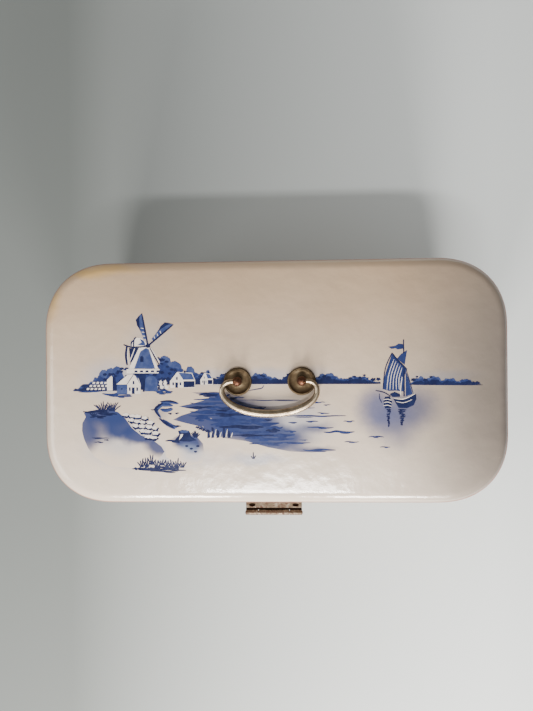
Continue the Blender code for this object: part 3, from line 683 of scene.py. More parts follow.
# %% Rosettes, posts and washers
for side in ("left", "right"):
    low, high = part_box(f"rosette_{side}")
    centre = (low + high) / 2
    reach = (high.x - low.x) / 2
    foot = Vector((centre.x, centre.y, LID_TOP))
    rosette = [
        (0.0027, 0.0003), (reach - 0.0006, 0.0003),
        (reach - 0.0002, 0.0005), (reach, 0.0009),
        (reach, 0.0018),
        *[(reach - 0.0013 + 0.0013 * math.cos(a), 0.0018 + 0.0012 * math.sin(a)) for a in fold[1:]],
        (reach - 0.0018, 0.0027), (reach - 0.0024, 0.0021),
        (reach - 0.0031, 0.0016), (reach * 0.68, 0.00125),
        (reach * 0.5, 0.0012), (0.0048, 0.0013),
        (0.0043, 0.0016), (0.0038, 0.0019),
        (0.0027, 0.0019),
    ]
    new_piece(
        f"rosette_{side}_turned", turn_about(bmesh.new(), rosette, foot, (0, 0, 1), 64, closed=True),
        aged_brass, "lid", [f"rosette_{side}"],
    )
    post_low, post_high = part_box(f"post_{side}")
    drop = post_low.z - LID_TOP
    ball = 0.0047
    ball_height = post_high.z - ball - LID_TOP
    neck = math.acos(0.0024 / ball)
    post = [
        (0, drop), (0.0020, drop),
        (0.0024, drop + 0.0004), (0.0024, 0.0022),
        (0.0033, 0.0022), (0.0036, 0.0024),
        (0.0035, 0.0028), (0.0024, 0.0031),
        *arc_points((0, ball_height), ball, -neck, math.pi / 2, 18),
    ]
    post[-1] = (0, ball_height + ball)
    new_piece(
        f"post_{side}_turned", turn_about(bmesh.new(), post, foot, (0, 0, 1)),
        rusty_copper, "lid", [f"post_{side}"],
    )
    low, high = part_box(f"post_washer_{side}")
    wide, thick = (high.x - low.x) / 2, high.z - low.z
    washer = [
        (0.0027, 0.0001), (0.0028, 0), (wide - 0.0002, 0), (wide, 0.0002), (wide, thick - 0.0002),
        (wide - 0.0002, thick), (0.0028, thick), (0.0027, thick - 0.0001),
    ]
    washer_foot = ((low.x + high.x) / 2, (low.y + high.y) / 2, low.z)
    new_piece(
        f"washer_{side}", turn_about(bmesh.new(), washer, washer_foot, (0, 0, 1), closed=True),
        dull_steel, "lid", [f"post_washer_{side}"],
    )
print("ball tops at", round(post_high.z, 4))

# %% Rivets and pins
for name in sorted(frame["nodes"]):
    if "rivet" not in name:
        continue
    low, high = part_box(name)
    outward = 1 if name.startswith("hinge") else -1
    tip = high.y if outward > 0 else low.y
    depth = high.y - low.y
    head = (high.x - low.x) / 2
    rivet = [
        (0, -depth), (0.0022, -depth),
        (0.0026, 0.0004 - depth), (0.0026, 0.0010 - depth),
        (0.0016, 0.0010 - depth), (0.0016, -0.0014),
        (head - 0.0001, -0.0014),
        *[(head * math.cos(a), 0.0014 * (math.sin(a) - 1)) for a in [math.pi * i / 16 for i in range(1, 8)]],
        (0, 0),
    ]
    body = "box" if "body" in name or "staple" in name else "lid"
    at = ((low.x + high.x) / 2, tip, (low.z + high.z) / 2)
    spun = turn_about(bmesh.new(), rivet, at, (0, outward, 0), 28)
    new_piece(f"{name}_domed", spun, dull_steel, body, [name])

bodies = frame["record"]["behaviour"]["bodies"]
for name in ("hinge_left_pin", "hinge_right_pin", "hasp_pin"):
    low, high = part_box(name)
    length, head = high.x - low.x, (high.z - low.z) / 2
    peened = [
        (0, 0), (head * 0.6, 0.0001), (head * 0.9, 0.0003), (head, 0.0005), (head, 0.0006),
        (0.0013, 0.0006),
    ]
    whole = peened + [(radius, length - height) for radius, height in peened[::-1]]
    at = (low.x, (low.y + high.y) / 2, (low.z + high.z) / 2)
    rides = next(b for b, members in bodies.items() if name in members)
    copper = name == "hasp_pin"
    new_piece(
        f"{name}_turned", turn_about(bmesh.new(), whole, at, (1, 0, 0), 28),
        rusty_copper if copper else tinned_steel, rides, [name],
    )
print("rivets and pins turned")

# %% [markdown]
# The bail is one bent rod, thin where its ends hook into the posts and thickest at the grip. It lies forward,
# tilted a little, with its grip resting on the lid.

# %% Bail
swing = next(j for j in frame["joints"] if j["name"] == "bail_swing")
hinge_point = Vector(swing["pos_m"])
half, curl, curl_width = 0.0458, 0.0093, 0.0088
grip, thin, reach = 0.0038, 0.0023, 0.0315
turn_in, tip = half - curl_width, 0.0284
side_path = [(tip, 0), (tip + 0.003, 0), ((tip + turn_in) / 2 + 0.001, 0)]
side_path += [
    (turn_in + curl_width * math.sin(a), curl * (1 - math.cos(a)))
    for a in [math.pi / 2 * i / 14 for i in range(15)]
]
bow = [
    (half * math.cos(a), curl + (reach - curl) * math.sin(a))
    for a in [math.pi * i / 56 for i in range(1, 56)]
]
flat_path = side_path + bow + [(-u, v) for u, v in side_path[::-1]]
tilt = Matrix.Rotation(math.asin((0.0080 - grip - 0.0003) / reach), 4, "X")
bail_path = [hinge_point + tilt @ Vector((u, -v, 0)) for u, v in flat_path]
bail_radii = [
    thin + (grip - thin) * max(0.0, min(1.0, (v - curl * 0.5) / (reach - curl * 0.5))) ** 0.8
    for _, v in flat_path
]
bail_mesh = bend_rod(bmesh.new(), bail_path, bail_radii, tilt.to_3x3() @ Vector((0, 0, 1)))
new_piece("bail", bail_mesh, worn_nickel, "bail", ["bail_handle"])
print("bail lies at", [round(v, 4) for v in (bail_path[len(bail_path) // 2])])

# %% Staple loop
low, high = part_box("staple_loop")
wire = (high.x - low.x) / 2
bow_radius = (high.z - low.z) / 2 - wire
middle_z = (low.z + high.z) / 2
bow_y = low.y + wire + bow_radius
loop_flat = [(high.y, middle_z + bow_radius), (bow_y + 0.004, middle_z + bow_radius)]
loop_flat += arc_points((bow_y, middle_z), bow_radius, math.pi / 2, 1.5 * math.pi, 24)
loop_flat += [(bow_y + 0.004, middle_z - bow_radius), (high.y, middle_z - bow_radius)]
loop_path = [Vector((0, y, z)) for y, z in loop_flat]
loop_mesh = bend_rod(bmesh.new(), loop_path, [wire] * len(loop_path), Vector((1, 0, 0)), 24)
new_piece("staple_bow", loop_mesh, dull_steel, "box", ["staple_loop"])


# %% [markdown]
# ## Cut and folded fittings
#
# The leaves, the strap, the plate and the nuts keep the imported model's shapes. Each is copied, its loose
# triangles are joined and its flat faces merged, and a fine bevel breaks every sharp edge.


# %% Softened copies
def softened(node, material, width=0.00018):
    """A copy of a CAD node with its edges broken, in the node's place."""
    mesh = bmesh.new()
    mesh.from_mesh(frame["nodes"][node].data)
    bmesh.ops.remove_doubles(mesh, verts=mesh.verts, dist=1e-6)
    bmesh.ops.dissolve_limit(
        mesh, angle_limit=math.radians(1), verts=mesh.verts, edges=mesh.edges, delimit={"NORMAL"}
    )
    rides = next(b for b, members in bodies.items() if node in members)
    made = new_piece(f"{node}_softened", mesh, material, rides, [node])
    edge = made.modifiers.new("broken edges", "BEVEL")
    edge.width = width
    edge.segments = 2
    edge.limit_method = "ANGLE"
    edge.angle_limit = math.radians(38)
    edge.harden_normals = True
    return made


for node in sorted(frame["nodes"]):
    if node.endswith("_leaf") or node in ("hasp_strap", "staple_plate"):
        softened(node, hasp_steel_with_painted_shade if node == "hasp_leaf" else tinned_steel)
    if "nut" in node:
        softened(node, dull_steel, 0.0003)
print("left as packed:", sorted(n for n, o in frame["nodes"].items() if not o.hide_render))

# %% [markdown]
# ## The painting
#
# The landscape is thick cobalt enamel, so each stroke stands about a tenth of a millimetre proud. A stroke is
# drawn flat in millimetres, cut by a grid fine enough to bend, laid on the crown and given its thickness.
# Water and banks are sprayed first. The rest is painted in passes, from cobalt masses up to the white lights.
# Places on the painting count from the middle of the lid, to the right and to the back.


# %% Laying paint on the crown
crown_x, crown_y = HALF_X - CROWN_EDGE, HALF_Y - CROWN_EDGE
crown_corner = CORNER - CROWN_EDGE
crown_edge_z = LID_TOP - CROWN


def crown_height(x, y):
    """Height of the crown over a point, from how far out the point lies between the middle and the roll."""
    x, y = abs(x), abs(y)
    share = max(x / crown_x, y / crown_y, 1e-9)
    if x / share > crown_x - crown_corner and y / share > crown_y - crown_corner:
        low, high = share, share * 1.5
        for _ in range(24):
            share = (low + high) / 2
            across = max(x / share - crown_x + crown_corner, 0) / crown_corner
            along = max(y / share - crown_y + crown_corner, 0) / crown_corner
            if across**2.25 + along**2.25 > 1:
                low = share
            else:
                high = share
    return crown_edge_z + CROWN * (1 - share**2)


PAINTING_STRETCH, PAINTING_SHIFT, PAINTING_SLOPE = 1.008, -1.0, -0.005  # how the stencil lay on the lid
DRAPE = 0.008  # the grid on which paint bends over the crown


def lay_paint(name, outlines, material, thick):
    """Closed slabs of paint from flat outlines in millimetres, draped on the crown."""
    mesh = bmesh.new()
    lift = mesh.verts.layers.float.new("lift")
    for number, points in enumerate(outlines):
        verts = [
            mesh.verts.new(((x * PAINTING_STRETCH + PAINTING_SHIFT) * MM, (y + PAINTING_SLOPE * x) * MM, 0))
            for x, y in points
        ]
        for vert in verts:
            vert[lift] = (number % 9) * 0.002 * MM
        mesh.faces.new(verts)
    for direction, reach in ((Vector((1, 0, 0)), HALF_X), (Vector((0, 1, 0)), HALF_Y)):
        lines = int(reach / DRAPE)
        for line in range(-lines, lines + 1):
            parts = mesh.verts[:] + mesh.edges[:] + mesh.faces[:]
            at = direction * DRAPE * line
            bmesh.ops.bisect_plane(mesh, geom=parts, dist=1e-6, plane_co=at, plane_no=direction)
    for vert in mesh.verts:
        vert.co.z = crown_height(vert.co.x, vert.co.y) - 0.02 * MM
    raised = bmesh.ops.extrude_face_region(mesh, geom=mesh.faces[:])["geom"]
    for vert in raised:
        if isinstance(vert, bmesh.types.BMVert):
            vert.co.z += thick + vert[lift]
    return new_piece(name, mesh, material, "lid")


def paint_colour(name, main, second, gloss=0.16):
    """Glassy coloured enamel, uneven where the brush left more or less of it."""
    made, tree, shader, place = new_material(name, IOR=1.52)
    uneven = ramp(tree, noise(tree, place, 130.0, 5.0, 0.65), 0.38, 0.68)
    feed(shader, "Base Color", mix(tree, uneven, main, second))
    shine = sums(tree, "MULTIPLY_ADD", noise(tree, place, 300.0, 3.0), 0.16, gloss - 0.05)
    feed(shader, "Roughness", shine)
    bump = add(tree, "ShaderNodeBump", {"Strength": 0.2, "Distance": 0.0002, "Height": uneven})
    feed(shader, "Normal", bump.outputs[0])
    return made


def spray_colour(name, spots):
    """Sprayed cobalt with a cut edge on one side, that fades into the lid's own tone on the other."""
    made, tree, shader, place = new_material(
        name, IOR=1.52, Roughness=0.2, Coat_Weight=0.3, Coat_Roughness=0.05
    )
    toned = place_group(tree, tone, Place=place).outputs["Color"]
    feed(shader, "Base Color", sprayed(tree, toned, place, spots))
    aged = place_group(tree, age, Place=place, Pinholes=0.0005, Scratches=0.2, Ripple=0.16)
    feed(shader, "Normal", aged.outputs["Normal"])
    return made


navy = paint_colour("navy enamel", colour(0.007, 0.010, 0.045), colour(0.011, 0.017, 0.065))
deep = paint_colour("deep blue enamel", colour(0.015, 0.024, 0.092), colour(0.023, 0.037, 0.125))
cobalt = paint_colour("cobalt enamel", colour(0.030, 0.046, 0.138), colour(0.056, 0.077, 0.178))
white = paint_colour("white enamel", colour(0.68, 0.62, 0.56), colour(0.60, 0.55, 0.50))
print("paints:", [m.name for m in (navy, deep, cobalt, white)])

# %% Passes, from the lowest to the highest, with the height of each in millimetres
passes = (
    ("cobalt", cobalt, 0.105), ("deep", deep, 0.125), ("navy", navy, 0.145),
    ("wall", white, 0.165), ("sail", deep, 0.175), ("roof", cobalt, 0.190), ("line", navy, 0.210),
    ("white", white, 0.230),
)
paints = {name: [] for name, _, _ in passes}
rng = random.Random(7)


# %% Brushwork
def shape(paint, outline):
    """Lays a closed outline in a pass."""
    paints[paint].append(outline)


def eased(points, steps=5):
    """A smooth line through a few points."""
    ends = [points[0], *points, points[-1]]
    line = []
    for a, b, c, d in zip(ends, ends[1:], ends[2:], ends[3:]):
        for step in range(steps):
            t = step / steps
            line.append(tuple(
                0.5 * (
                    2 * q + (r - p) * t + (2 * p - 5 * q + 4 * r - s) * t * t
                    + (3 * q - p - 3 * r + s) * t**3
                )
                for p, q, r, s in zip(a, b, c, d)
            ))
    return line + [points[-1]]


def stroke(paint, points, width, start=0.25, end=0.1, steps=5):
    """A brush stroke: full in the middle, start and end as shares of the width at its tips."""
    line = eased(points, steps)
    left, right = [], []
    for i, (x, y) in enumerate(line):
        before, after = line[max(i - 1, 0)], line[min(i + 1, len(line) - 1)]
        way = Vector((after[0] - before[0], after[1] - before[1]))
        if way.length < 1e-6:
            continue
        way.normalize()
        along = i / (len(line) - 1)
        swell = math.sin(math.pi * along) ** 0.6
        tip = start + (end - start) * along
        reach = width / 2 * (tip + (1 - tip) * swell)
        left.append((x - way.y * reach, y + way.x * reach))
        right.append((x + way.y * reach, y - way.x * reach))
    shape(paint, left + right[::-1])


def dab(paint, x, y, wide, tall, lumps=7, rough=0.12, points=22):
    """A lumpy round dab, for leaves, bushes and stones."""
    phase = rng.uniform(0, math.tau)
    edge = []
    for i in range(points):
        a = math.tau * i / points
        r = 1 + rough * math.sin(lumps * a + phase) + rng.uniform(-rough, rough) * 0.5
        edge.append((x + wide / 2 * r * math.cos(a), y + tall / 2 * r * math.sin(a)))
    shape(paint, edge)


def skyline(paint, x0, x1, base, tall, size):
    """A lumpy mass of leaves on a level foot. tall gives its height at a share of its length."""
    lumps = []
    x = x0
    while x < x1:
        height = tall((x - x0) / (x1 - x0)) * rng.uniform(0.78, 1.08)
        radius = min(size * rng.uniform(0.7, 1.2), height * 0.7)
        lumps.append((x + radius * 0.4, height - radius, radius))
        x += radius * rng.uniform(0.9, 1.7)
    top = []
    steps = max(int((x1 - x0) / 0.9), 6)
    for i in range(steps + 1):
        x = x0 + (x1 - x0) * i / steps
        reach = [low + math.sqrt(r * r - (x - c) ** 2) for c, low, r in lumps if abs(x - c) < r]
        valley = tall(i / steps) * 0.35
        ends = min(1.0, 0.15 + 6 * min(i, steps - i) / steps)
        top.append((x, base + max(max(reach, default=0), valley) * ends + rng.uniform(-0.45, 0.45)))
    shape(paint, [(x0, base)] + top + [(x1, base)])


def woods(x0, x1, base, tall, size=4.2):
    """Massed trees: cobalt crowns, a deep blue undergrowth and navy at the foot and in the shade."""
    skyline("cobalt", x0, x1, base, tall, size)
    skyline("deep", x0 + 0.6, x1, base, lambda t: tall(t) * 0.74, size * 0.7)
    skyline("navy", x0 + 1, x1, base, lambda t: min(tall(t) * 0.50, 7), size * 0.5)
    x = x0 + 2
    while x < x1 - 1:
        height = tall((x - x0) / (x1 - x0))
        for _ in range(1 + int(height / 9)):
            y = base + height * rng.uniform(0.3, 0.82)
            wide = rng.uniform(2.4, 5.2)
            tint = "navy" if rng.random() < 0.7 else "deep"
            dab(tint, x + rng.uniform(-1, 1.5), y, wide, wide * 0.62, 5, 0.25, 13)
        x += rng.uniform(3.0, 5.5)


def grass(x, y, spread, tall, blades, width):
    """A tuft of blades that fan out from a foot."""
    for i in range(blades):
        lean = (i / max(blades - 1, 1) - 0.5) * spread
        top = tall * rng.uniform(0.6, 1.0) * (1 - 0.35 * abs(lean) / max(spread / 2, 0.1))
        foot = x + lean * 0.25
        bend = (foot + lean * 0.35, y + top * 0.6)
        stroke("navy", [(foot, y), bend, (x + lean, y + top)], width, 0.8, 0.08, 4)


def ripple(x0, x1, y, paint="navy", width=0.9):
    """A level stroke on the water, with a shorter one laid along its underside."""
    wavy = [(x0 + (x1 - x0) * i / 5, y + rng.uniform(-0.35, 0.35) * width) for i in range(6)]
    stroke(paint, wavy, width, 0.1, 0.1)
    start = x0 + (x1 - x0) * rng.uniform(0.1, 0.6)
    end = start + (x1 - x0) * rng.uniform(0.3, 0.5)
    drop = width * 0.6
    stroke(paint, [(start, y - drop), (end, y - drop * 1.2)], width * 0.7, 0.1, 0.1)


print("brushes ready:", [name for name, _, _ in passes])

# %% Water, the near bank and the mound, sprayed behind a cut edge
water = [
    (-77, -10.6), (-60, -10), (-35, -10.6), (-8, -12), (20, -15), (48, -18), (64, -25), (74, -40),
    (72, -56),
    (64, -68.4), (40, -69.4), (18, -68.6), (-3, -64.6), (-25, -58.4), (-45, -55.6), (-54, -53),
    (-64, -47.5),
    (-72, -43.4), (-84, -40.6), (-96, -37.4), (-88, -33.4), (-76, -29.6), (-71, -27.6), (-80, -26.4),
    (-90, -24.4),
    (-76, -21.4), (-64, -18), (-60, -15.6), (-68, -13.4),
]
water_spots = (
    (pale_spray, (10, -40), (66, 32), 0.2, 0.50), (cobalt_spray, (-62, -33), (54, 32), 0.55, 0.96),
    (cobalt_spray, (-25, -40), (46, 28), 0.40, 0.95), (cobalt_spray, (2, -56), (48, 18), 0.40, 0.93),
    (cobalt_spray, (36, -66), (34, 6), 0.10, 0.80), (cobalt_spray, (38, -44), (30, 8), 0.10, 0.70),
)
lay_paint("painted_water", [water], spray_colour("sprayed water", water_spots), 0.07 * MM)
near_bank = [
    (-186, -31), (-181, -29), (-172, -27.6), (-160, -27.6), (-151, -30), (-144, -36), (-137, -46),
    (-128, -53),
    (-117, -57), (-108, -64), (-105, -69), (-112, -78), (-134, -86), (-160, -84), (-176, -74), (-182, -66),
    (-186, -57), (-188, -49), (-187.6, -41), (-184, -35),
]
bank_spots = (
    (pale_spray, (-150, -58), (40, 22), 0.2, 0.35), (cobalt_spray, (-187, -46), (19, 30), 0.40, 0.92),
    (cobalt_spray, (-170, -44), (24, 20), 0.10, 0.75), (cobalt_spray, (-164, -31), (34, 14), 0.45, 0.95),
    (cobalt_spray, (-150, -40), (26, 19), 0.45, 0.97), (cobalt_spray, (-131, -52), (24, 14), 0.45, 0.95),
    (cobalt_spray, (-114, -64), (20, 12), 0.40, 0.92),
)
lay_paint("painted_bank", [near_bank], spray_colour("sprayed bank", bank_spots), 0.07 * MM)
mound = [
    (-104, -59), (-97, -56), (-90, -52), (-80, -51), (-72, -55), (-67, -61), (-66, -70), (-68, -80),
    (-88, -84), (-104, -74),
]
mound_spots = (
    (cobalt_spray, (-82, -60), (21, 12), 0.45, 0.97), (pale_spray, (-80, -70), (20, 12), 0.20, 0.45),
)
lay_paint("painted_mound", [mound], spray_colour("sprayed mound", mound_spots), 0.07 * MM)
for row in range(13):
    y = -13.5 - row * 3.9
    depth = row / 12
    left = -72 + 58 * max(0.0, depth - 0.5) * 1.7 - 12 * math.sin(math.pi * min(depth * 1.7, 1.0))
    right = -48 + 82 * depth
    x = left + rng.uniform(0, 5)
    while x < right:
        calm = max(0.0, (x + 15) / 40)
        length = rng.uniform(14, 46) * (1 - 0.5 * min(calm, 1))
        wide = rng.uniform(1.3, 3.1) * (1 - 0.6 * min(calm, 1))
        tint = rng.choice(("navy", "deep", "deep"))
        ripple(x, min(x + length, right + 8), y + rng.uniform(-1.3, 1.3), tint, wide)
        x += length * rng.uniform(0.55, 1.1) + calm * 14
for x0, x1, y, wide in (
    (-30, 28, -18.3, 0.9), (-39, -26, -15.6, 1.2), (-19, -5, -25.5, 1.8), (-70, -49, -11.6, 1.4),
    (37, 52, -20.5, 1.0), (50, 57, -23, 0.8), (22, 42, -26, 0.9), (44, 56, -31, 1.0), (14, 72, -34, 1.4),
    (33, 45, -39, 1.2), (69, 80, -39, 1.1), (16, 25, -40, 1.2), (50, 80, -49, 2.2), (34, 60, -45, 1.4),
    (17, 24, -49, 1.2), (70, 84, -59, 1.1), (93, 108, -54, 1.2), (104, 114, -64, 1.0), (30, 62, -67, 2.0),
):
    ripple(x0, x1, y, "deep", wide)
stroke("deep", [(-22, -9), (-14, -7.6), (-9, -6.6), (-7.2, -4)], 1.0, 0.3, 0.6)
for x, top in ((-61, -47), (-57, -44.6), (-52, -47.4), (-46, -44.8), (-41, -48)):
    shape("navy", [(x - 1.7, -55.6), (x + 1.2, -55), (x + 0.9, top - 1), (x - 1.3, top)])
    stroke("white", [(x + 1.6, -54.6), (x + 3.2, top - 2)], 0.8, 0.8, 0.4, 2)
for x in range(-72, -60, 3):
    dab("navy", x, -45 - (x + 72) * 0.4, 4.2, 2.4, 5, 0.3, 12)
print("water:", {k: len(v) for k, v in paints.items() if v})

# %% Far shore
woods(-82, 105, -1.8, lambda t: 8.6 - 1.6 * t + 3.0 * math.sin(t * 37), 3.6)
woods(134, 201, -3.2, lambda t: 8.4 - 5.6 * t + 2.4 * math.sin(t * 26), 3.2)
stroke("navy", [(-82, -2.2), (10, -2), (105, -2.4)], 1.5, 0.5, 0.5, 12)
stroke("navy", [(133, -3.4), (165, -3.6), (203, -4)], 1.3, 0.5, 0.2, 10)
woods(-197, -140, -9, lambda t: 3 + 30 * t - 2 * math.sin(t * 9), 5)
woods(-141, -104, -8, lambda t: 20 - 4 * math.cos(t * 6), 5)
woods(-112, -84, -3, lambda t: 34 - 17 * t + 3 * math.sin(t * 8), 5.5)
woods(-86, -56, -3, lambda t: 15 - 3 * t + 3 * math.sin(t * 11), 4.5)
print("woods:", {k: len(v) for k, v in paints.items() if v})

# %% Windmill: tapered tower, gallery, cap, tail pole and two sails in view
shape("wall", [(-139.5, 13), (-110.5, 13), (-118.6, 34), (-131.4, 34)])
shape("roof", [(-134.4, 13), (-113.5, 13), (-119.5, 32), (-122.5, 33.4), (-128, 30)])
shape("line", [(-139.4, 33.2), (-129.6, 33.4), (-138, 16.5)])
stroke("white", [(-128, 33.4), (-132, 25), (-137.2, 17.4)], 1.9, 0.7, 0.7)
stroke("white", [(-133.6, 33.2), (-136, 27), (-138.4, 21)], 0.9, 0.7, 0.7)
stroke("line", [(-118.8, 33.6), (-113.5, 24), (-109.6, 17)], 1.2, 0.6, 0.6)
stroke("white", [(-117.4, 33.4), (-112.2, 24.6), (-109, 19)], 1.0, 0.6, 0.6)
shape("line", [(-128.3, 19.6), (-124.9, 19.6), (-124.9, 24.4), (-126.4, 25.8), (-128.3, 24.4)])
shape("wall", [(-142, 8.4), (-110, 8.4), (-109, 12.6), (-142, 12.6)])
for x in (-134.5, -129, -123.5, -118, -112.5):
    shape("line", [(x, 9.3), (x + 3.8, 9.3), (x + 3.2, 11.2), (x + 0.8, 11.2)])
shape("line", [(-134, 8), (-122.5, 8), (-124, -4.5), (-128, 0.5)])
shape("roof", arc_points((-117.5, -0.5), 6.4, 0, math.pi, 12) + [(-123.9, -9.5), (-111.1, -9.5)])
shape("line", [(-126, -10), (-124.2, -10), (-123.2, 3), (-125.4, 3.6)])
shape("wall", arc_points((-130.2, 35.2), 8.4, 0, math.pi, 14))
shape("roof", [(-131, 36.4), (-122.6, 35.6), (-124.4, 40.6), (-128.4, 42.4), (-126.8, 39)])
for x, top in ((-137.4, 38.6), (-134.8, 41.4)):
    stroke("line", [(x, 35), (x + 0.4, top), (x + 2.6, top + 2.6)], 1.5, 0.8, 0.3)
stroke("line", [(-145, 36.8), (-138, 34.4), (-130, 34.2), (-120, 35.4)], 1.4, 0.6, 0.7)
stroke("line", [(-141.6, 35.4), (-142.6, 26), (-141.4, 16.5)], 2.2, 0.7, 0.6)
stroke("white", [(-140.2, 33.6), (-140.9, 26), (-140, 18)], 0.8, 0.6, 0.5)
hub = Vector((-120.4, 35.4))
for tip in ((-126.6, 67.6), (-95.2, 56.2)):
    along = Vector(tip) - hub
    across = Vector((-along.y, along.x)).normalized()
    edge = [hub + along * a + across * b for a, b in (
        (0.22, 3.0), (0.40, 4.0), (0.56, 5.4), (0.68, 7.0), (0.76, 6.6), (0.84, 7.2), (0.92, 4.2),
        (0.99, 0.8))]
    inner = [hub + along * a + across * 0.5 for a in (0.99, 0.6, 0.22)]
    shape("roof", [tuple(p) for p in edge + inner])
    shade = [hub + along * a + across * b for a, b in (
        (0.5, 4.6), (0.68, 6.8), (0.84, 7.0), (0.95, 2.4), (0.8, 3.8), (0.64, 4.4))]
    shape("line", [tuple(p) for p in shade])
    for a in (0.3, 0.42, 0.54):
        start = hub + along * a + across * 1.1
        stroke("white", [tuple(start), tuple(start + across * 2.6 + along * 0.03)], 0.7, 0.8, 0.4, 2)
    stroke("line", [tuple(hub), tuple(hub + along * 0.5), tip], 1.7, 1.0, 0.5, 3)
dab("line", hub.x, hub.y, 4.6, 4.2, rough=0.04)
print("windmill painted")


# %% Houses
def house(x, y, wide, tall, gable):
    """A gabled house: white wall, cobalt roof sloping back to the right, navy door and windows."""
    eave = y + tall * 0.48
    peak = (x + gable / 2, y + tall)
    back = (x + wide - 2.4, y + tall * 0.94)
    shape("wall", [
        (x - 1, y), (x + wide + 0.5, y), (x + wide + 0.5, eave), back, peak, (x - 1.4, eave - 0.6),
    ])
    right = x + wide
    shape("roof", [
        (x + gable + 0.4, eave + 0.4), (right - 0.2, eave + 0.5), (back[0] - 0.4, back[1] - 0.6),
        (peak[0] + 1.4, peak[1] - 0.6),
    ])
    side = x + gable + 0.6
    shape("line", [(side, y + 0.4), (right, y + 0.6), (right, eave - 1), (side, eave - 1)])
    door, lintel = x + gable * 0.34, y + tall * 0.34
    shape("line", [(door, y), (door + gable * 0.24, y), (door + gable * 0.24, lintel), (door, lintel)])
    for share, up in ((0.1, 0.16), (0.72, 0.16), (0.42, 0.5)):
        left = x + gable * share
        shape("line", [
            (left, y + tall * up), (left + gable * 0.14, y + tall * up),
            (left + gable * 0.14, y + tall * (up + 0.18)), (left, y + tall * (up + 0.18)),
        ])
    stroke("line", [(x - 1.6, eave - 0.8), (peak[0], peak[1] + 0.3)], 0.7, 0.8, 0.8, 2)
    chimney = x + wide * 0.55
    ridge = back[1]
    shape("line", [
        (chimney, ridge), (chimney + 1.6, ridge), (chimney + 1.6, ridge + 2.2), (chimney, ridge + 2.2),
    ])


house(-141, -12, 12.5, 19, 12)
shape("wall", [(-152.5, -2.6), (-140.6, -2.6), (-135, 7.4), (-141, 7.0)])
shape("roof", [(-152, -11.8), (-141.4, -11.8), (-141.4, -3), (-152, -3)])
dab("line", -147, -7, 1.4, 1.8, rough=0.05)
house(-97.5, -6, 23, 15.5, 11.5)
house(-67.5, -3, 10.5, 11.5, 5.4)
shape("wall", [(-162, -8.6), (-153.5, -8.6), (-153.5, 2), (-157.5, 6), (-162, 2)])
shape("line", [(-156.4, -8.6), (-153.4, -8.6), (-153.4, 4), (-156.4, 5)])
for row in range(3):
    for x in range(-183 + row * 3, -163, 4):
        y = row * 3
        shape("wall", [(x, y - 8), (x + 2.6, y - 7.8), (x + 3, y - 6), (x + 0.6, y - 6)])
for x in (-108, -103.5, -114):
    dab("wall", x, -1.4, 3.2, 5.6, 6, 0.2)
    dab("wall", x + 1.2, -5.4, 4.2, 3.4, 6, 0.2)
for x0, x1, y, wide in (
    (-167, -138, -12.4, 2.6), (-160, -141, -14.2, 1.8), (-118, -96, -9.2, 2.6), (-112, -97, -11.4, 1.4),
    (-197, -160, -9, 1.6),
):
    ripple(x0, x1, y, "deep", wide)
print("village painted")

# %% Stream and stepping stones
stream = (
    [(-109, -19.8), (-100, -19), (-91.5, -20.6)], [(-111, -22.4), (-104, -22), (-97, -22.6)],
    [(-106, -21), (-113.5, -27), (-109, -35)], [(-109, -27), (-103, -27.4), (-97, -25.8)],
    [(-110, -36), (-103, -41), (-95, -45.6)], [(-106, -37), (-99, -42), (-93, -44)],
)
for number, line in enumerate(stream):
    stroke("deep" if number % 2 else "navy", line, 2.6 if number in (2, 4) else 1.6, 0.2, 0.1)
    stroke("cobalt", [(x + 1.2, y - 1) for x, y in line], 3.2, 0.2, 0.1)
for x0, x1, y in ((-118, -110, -27.6), (-101, -97, -31.4), (-96, -88, -43.6), (-94, -90, -31)):
    ripple(x0, x1, y, "navy", 1.1)
for row in range(5):
    for column in range(4):
        x = -144 + row * 5.4 + column * 6.6 + rng.uniform(-1.2, 1.2)
        y = -33.5 - row * 5.2 - column * 0.6 + rng.uniform(-0.8, 0.8)
        if x > -114 + row * 0.8:
            continue
        wide, tall = rng.uniform(5.4, 7.6), rng.uniform(3.2, 4.4)
        dab("navy", x + 0.5, y - 0.9, wide + 1.4, tall + 1.1, 5, 0.14)
        dab("wall", x, y + 0.4, wide - 0.4, tall - 0.4, 5, 0.14)
print("stones painted")

# %% Reeds, stump and grass in the foreground
for x, y, spread, tall, blades in (
    (-166, -30, 20, 13, 9), (-157, -29, 18, 13, 8), (-176, -34, 8, 5, 4), (-74, -55, 9, 9, 7),
    (-18, -76, 5, 7, 3),
):
    grass(x, y, spread, tall, blades, 1.1)
for x in range(-134, -92, 5):
    grass(x + 6, -84 + rng.uniform(-2, 2), 9, rng.uniform(8, 13), 4, 1.3)
    dab("navy", x, -85.5 + rng.uniform(-1.5, 1.5), 7, 2.6, 4, 0.3, 14)
for x0, x1, y, wide in (
    (-187, -160, -29.6, 2.4), (-180, -163, -34.6, 1.8), (-172, -152, -31.6, 2.0), (-178, -160, -56, 0.9),
    (-176, -166, -60, 0.9), (-166, -161, -57.6, 0.9), (-104, -80, -58, 2.2), (-132, -84, -87.4, 2.0),
    (-120, -92, -89, 1.4),
):
    ripple(x0, x1, y, "navy", wide)
shape("navy", [
    (-95, -58), (-90, -52), (-91.4, -48.6), (-87, -47.4), (-80.4, -48.4), (-79, -51), (-78.6, -54),
    (-73, -57.6), (-80, -59), (-88, -58.6),
])
dab("roof", -85, -49, 8.4, 2.8, rough=0.06)
shape("white", [(-88.6, -51.6), (-86.2, -51.6), (-87.4, -54.4), (-90.4, -57.4)])
for x, y in ((-83, -63.4), (-78.6, -66), (-74.4, -69), (-72, -63.4)):
    dab("navy", x, y, 3.4, 2.0, rough=0.1, points=12)
print("foreground painted")

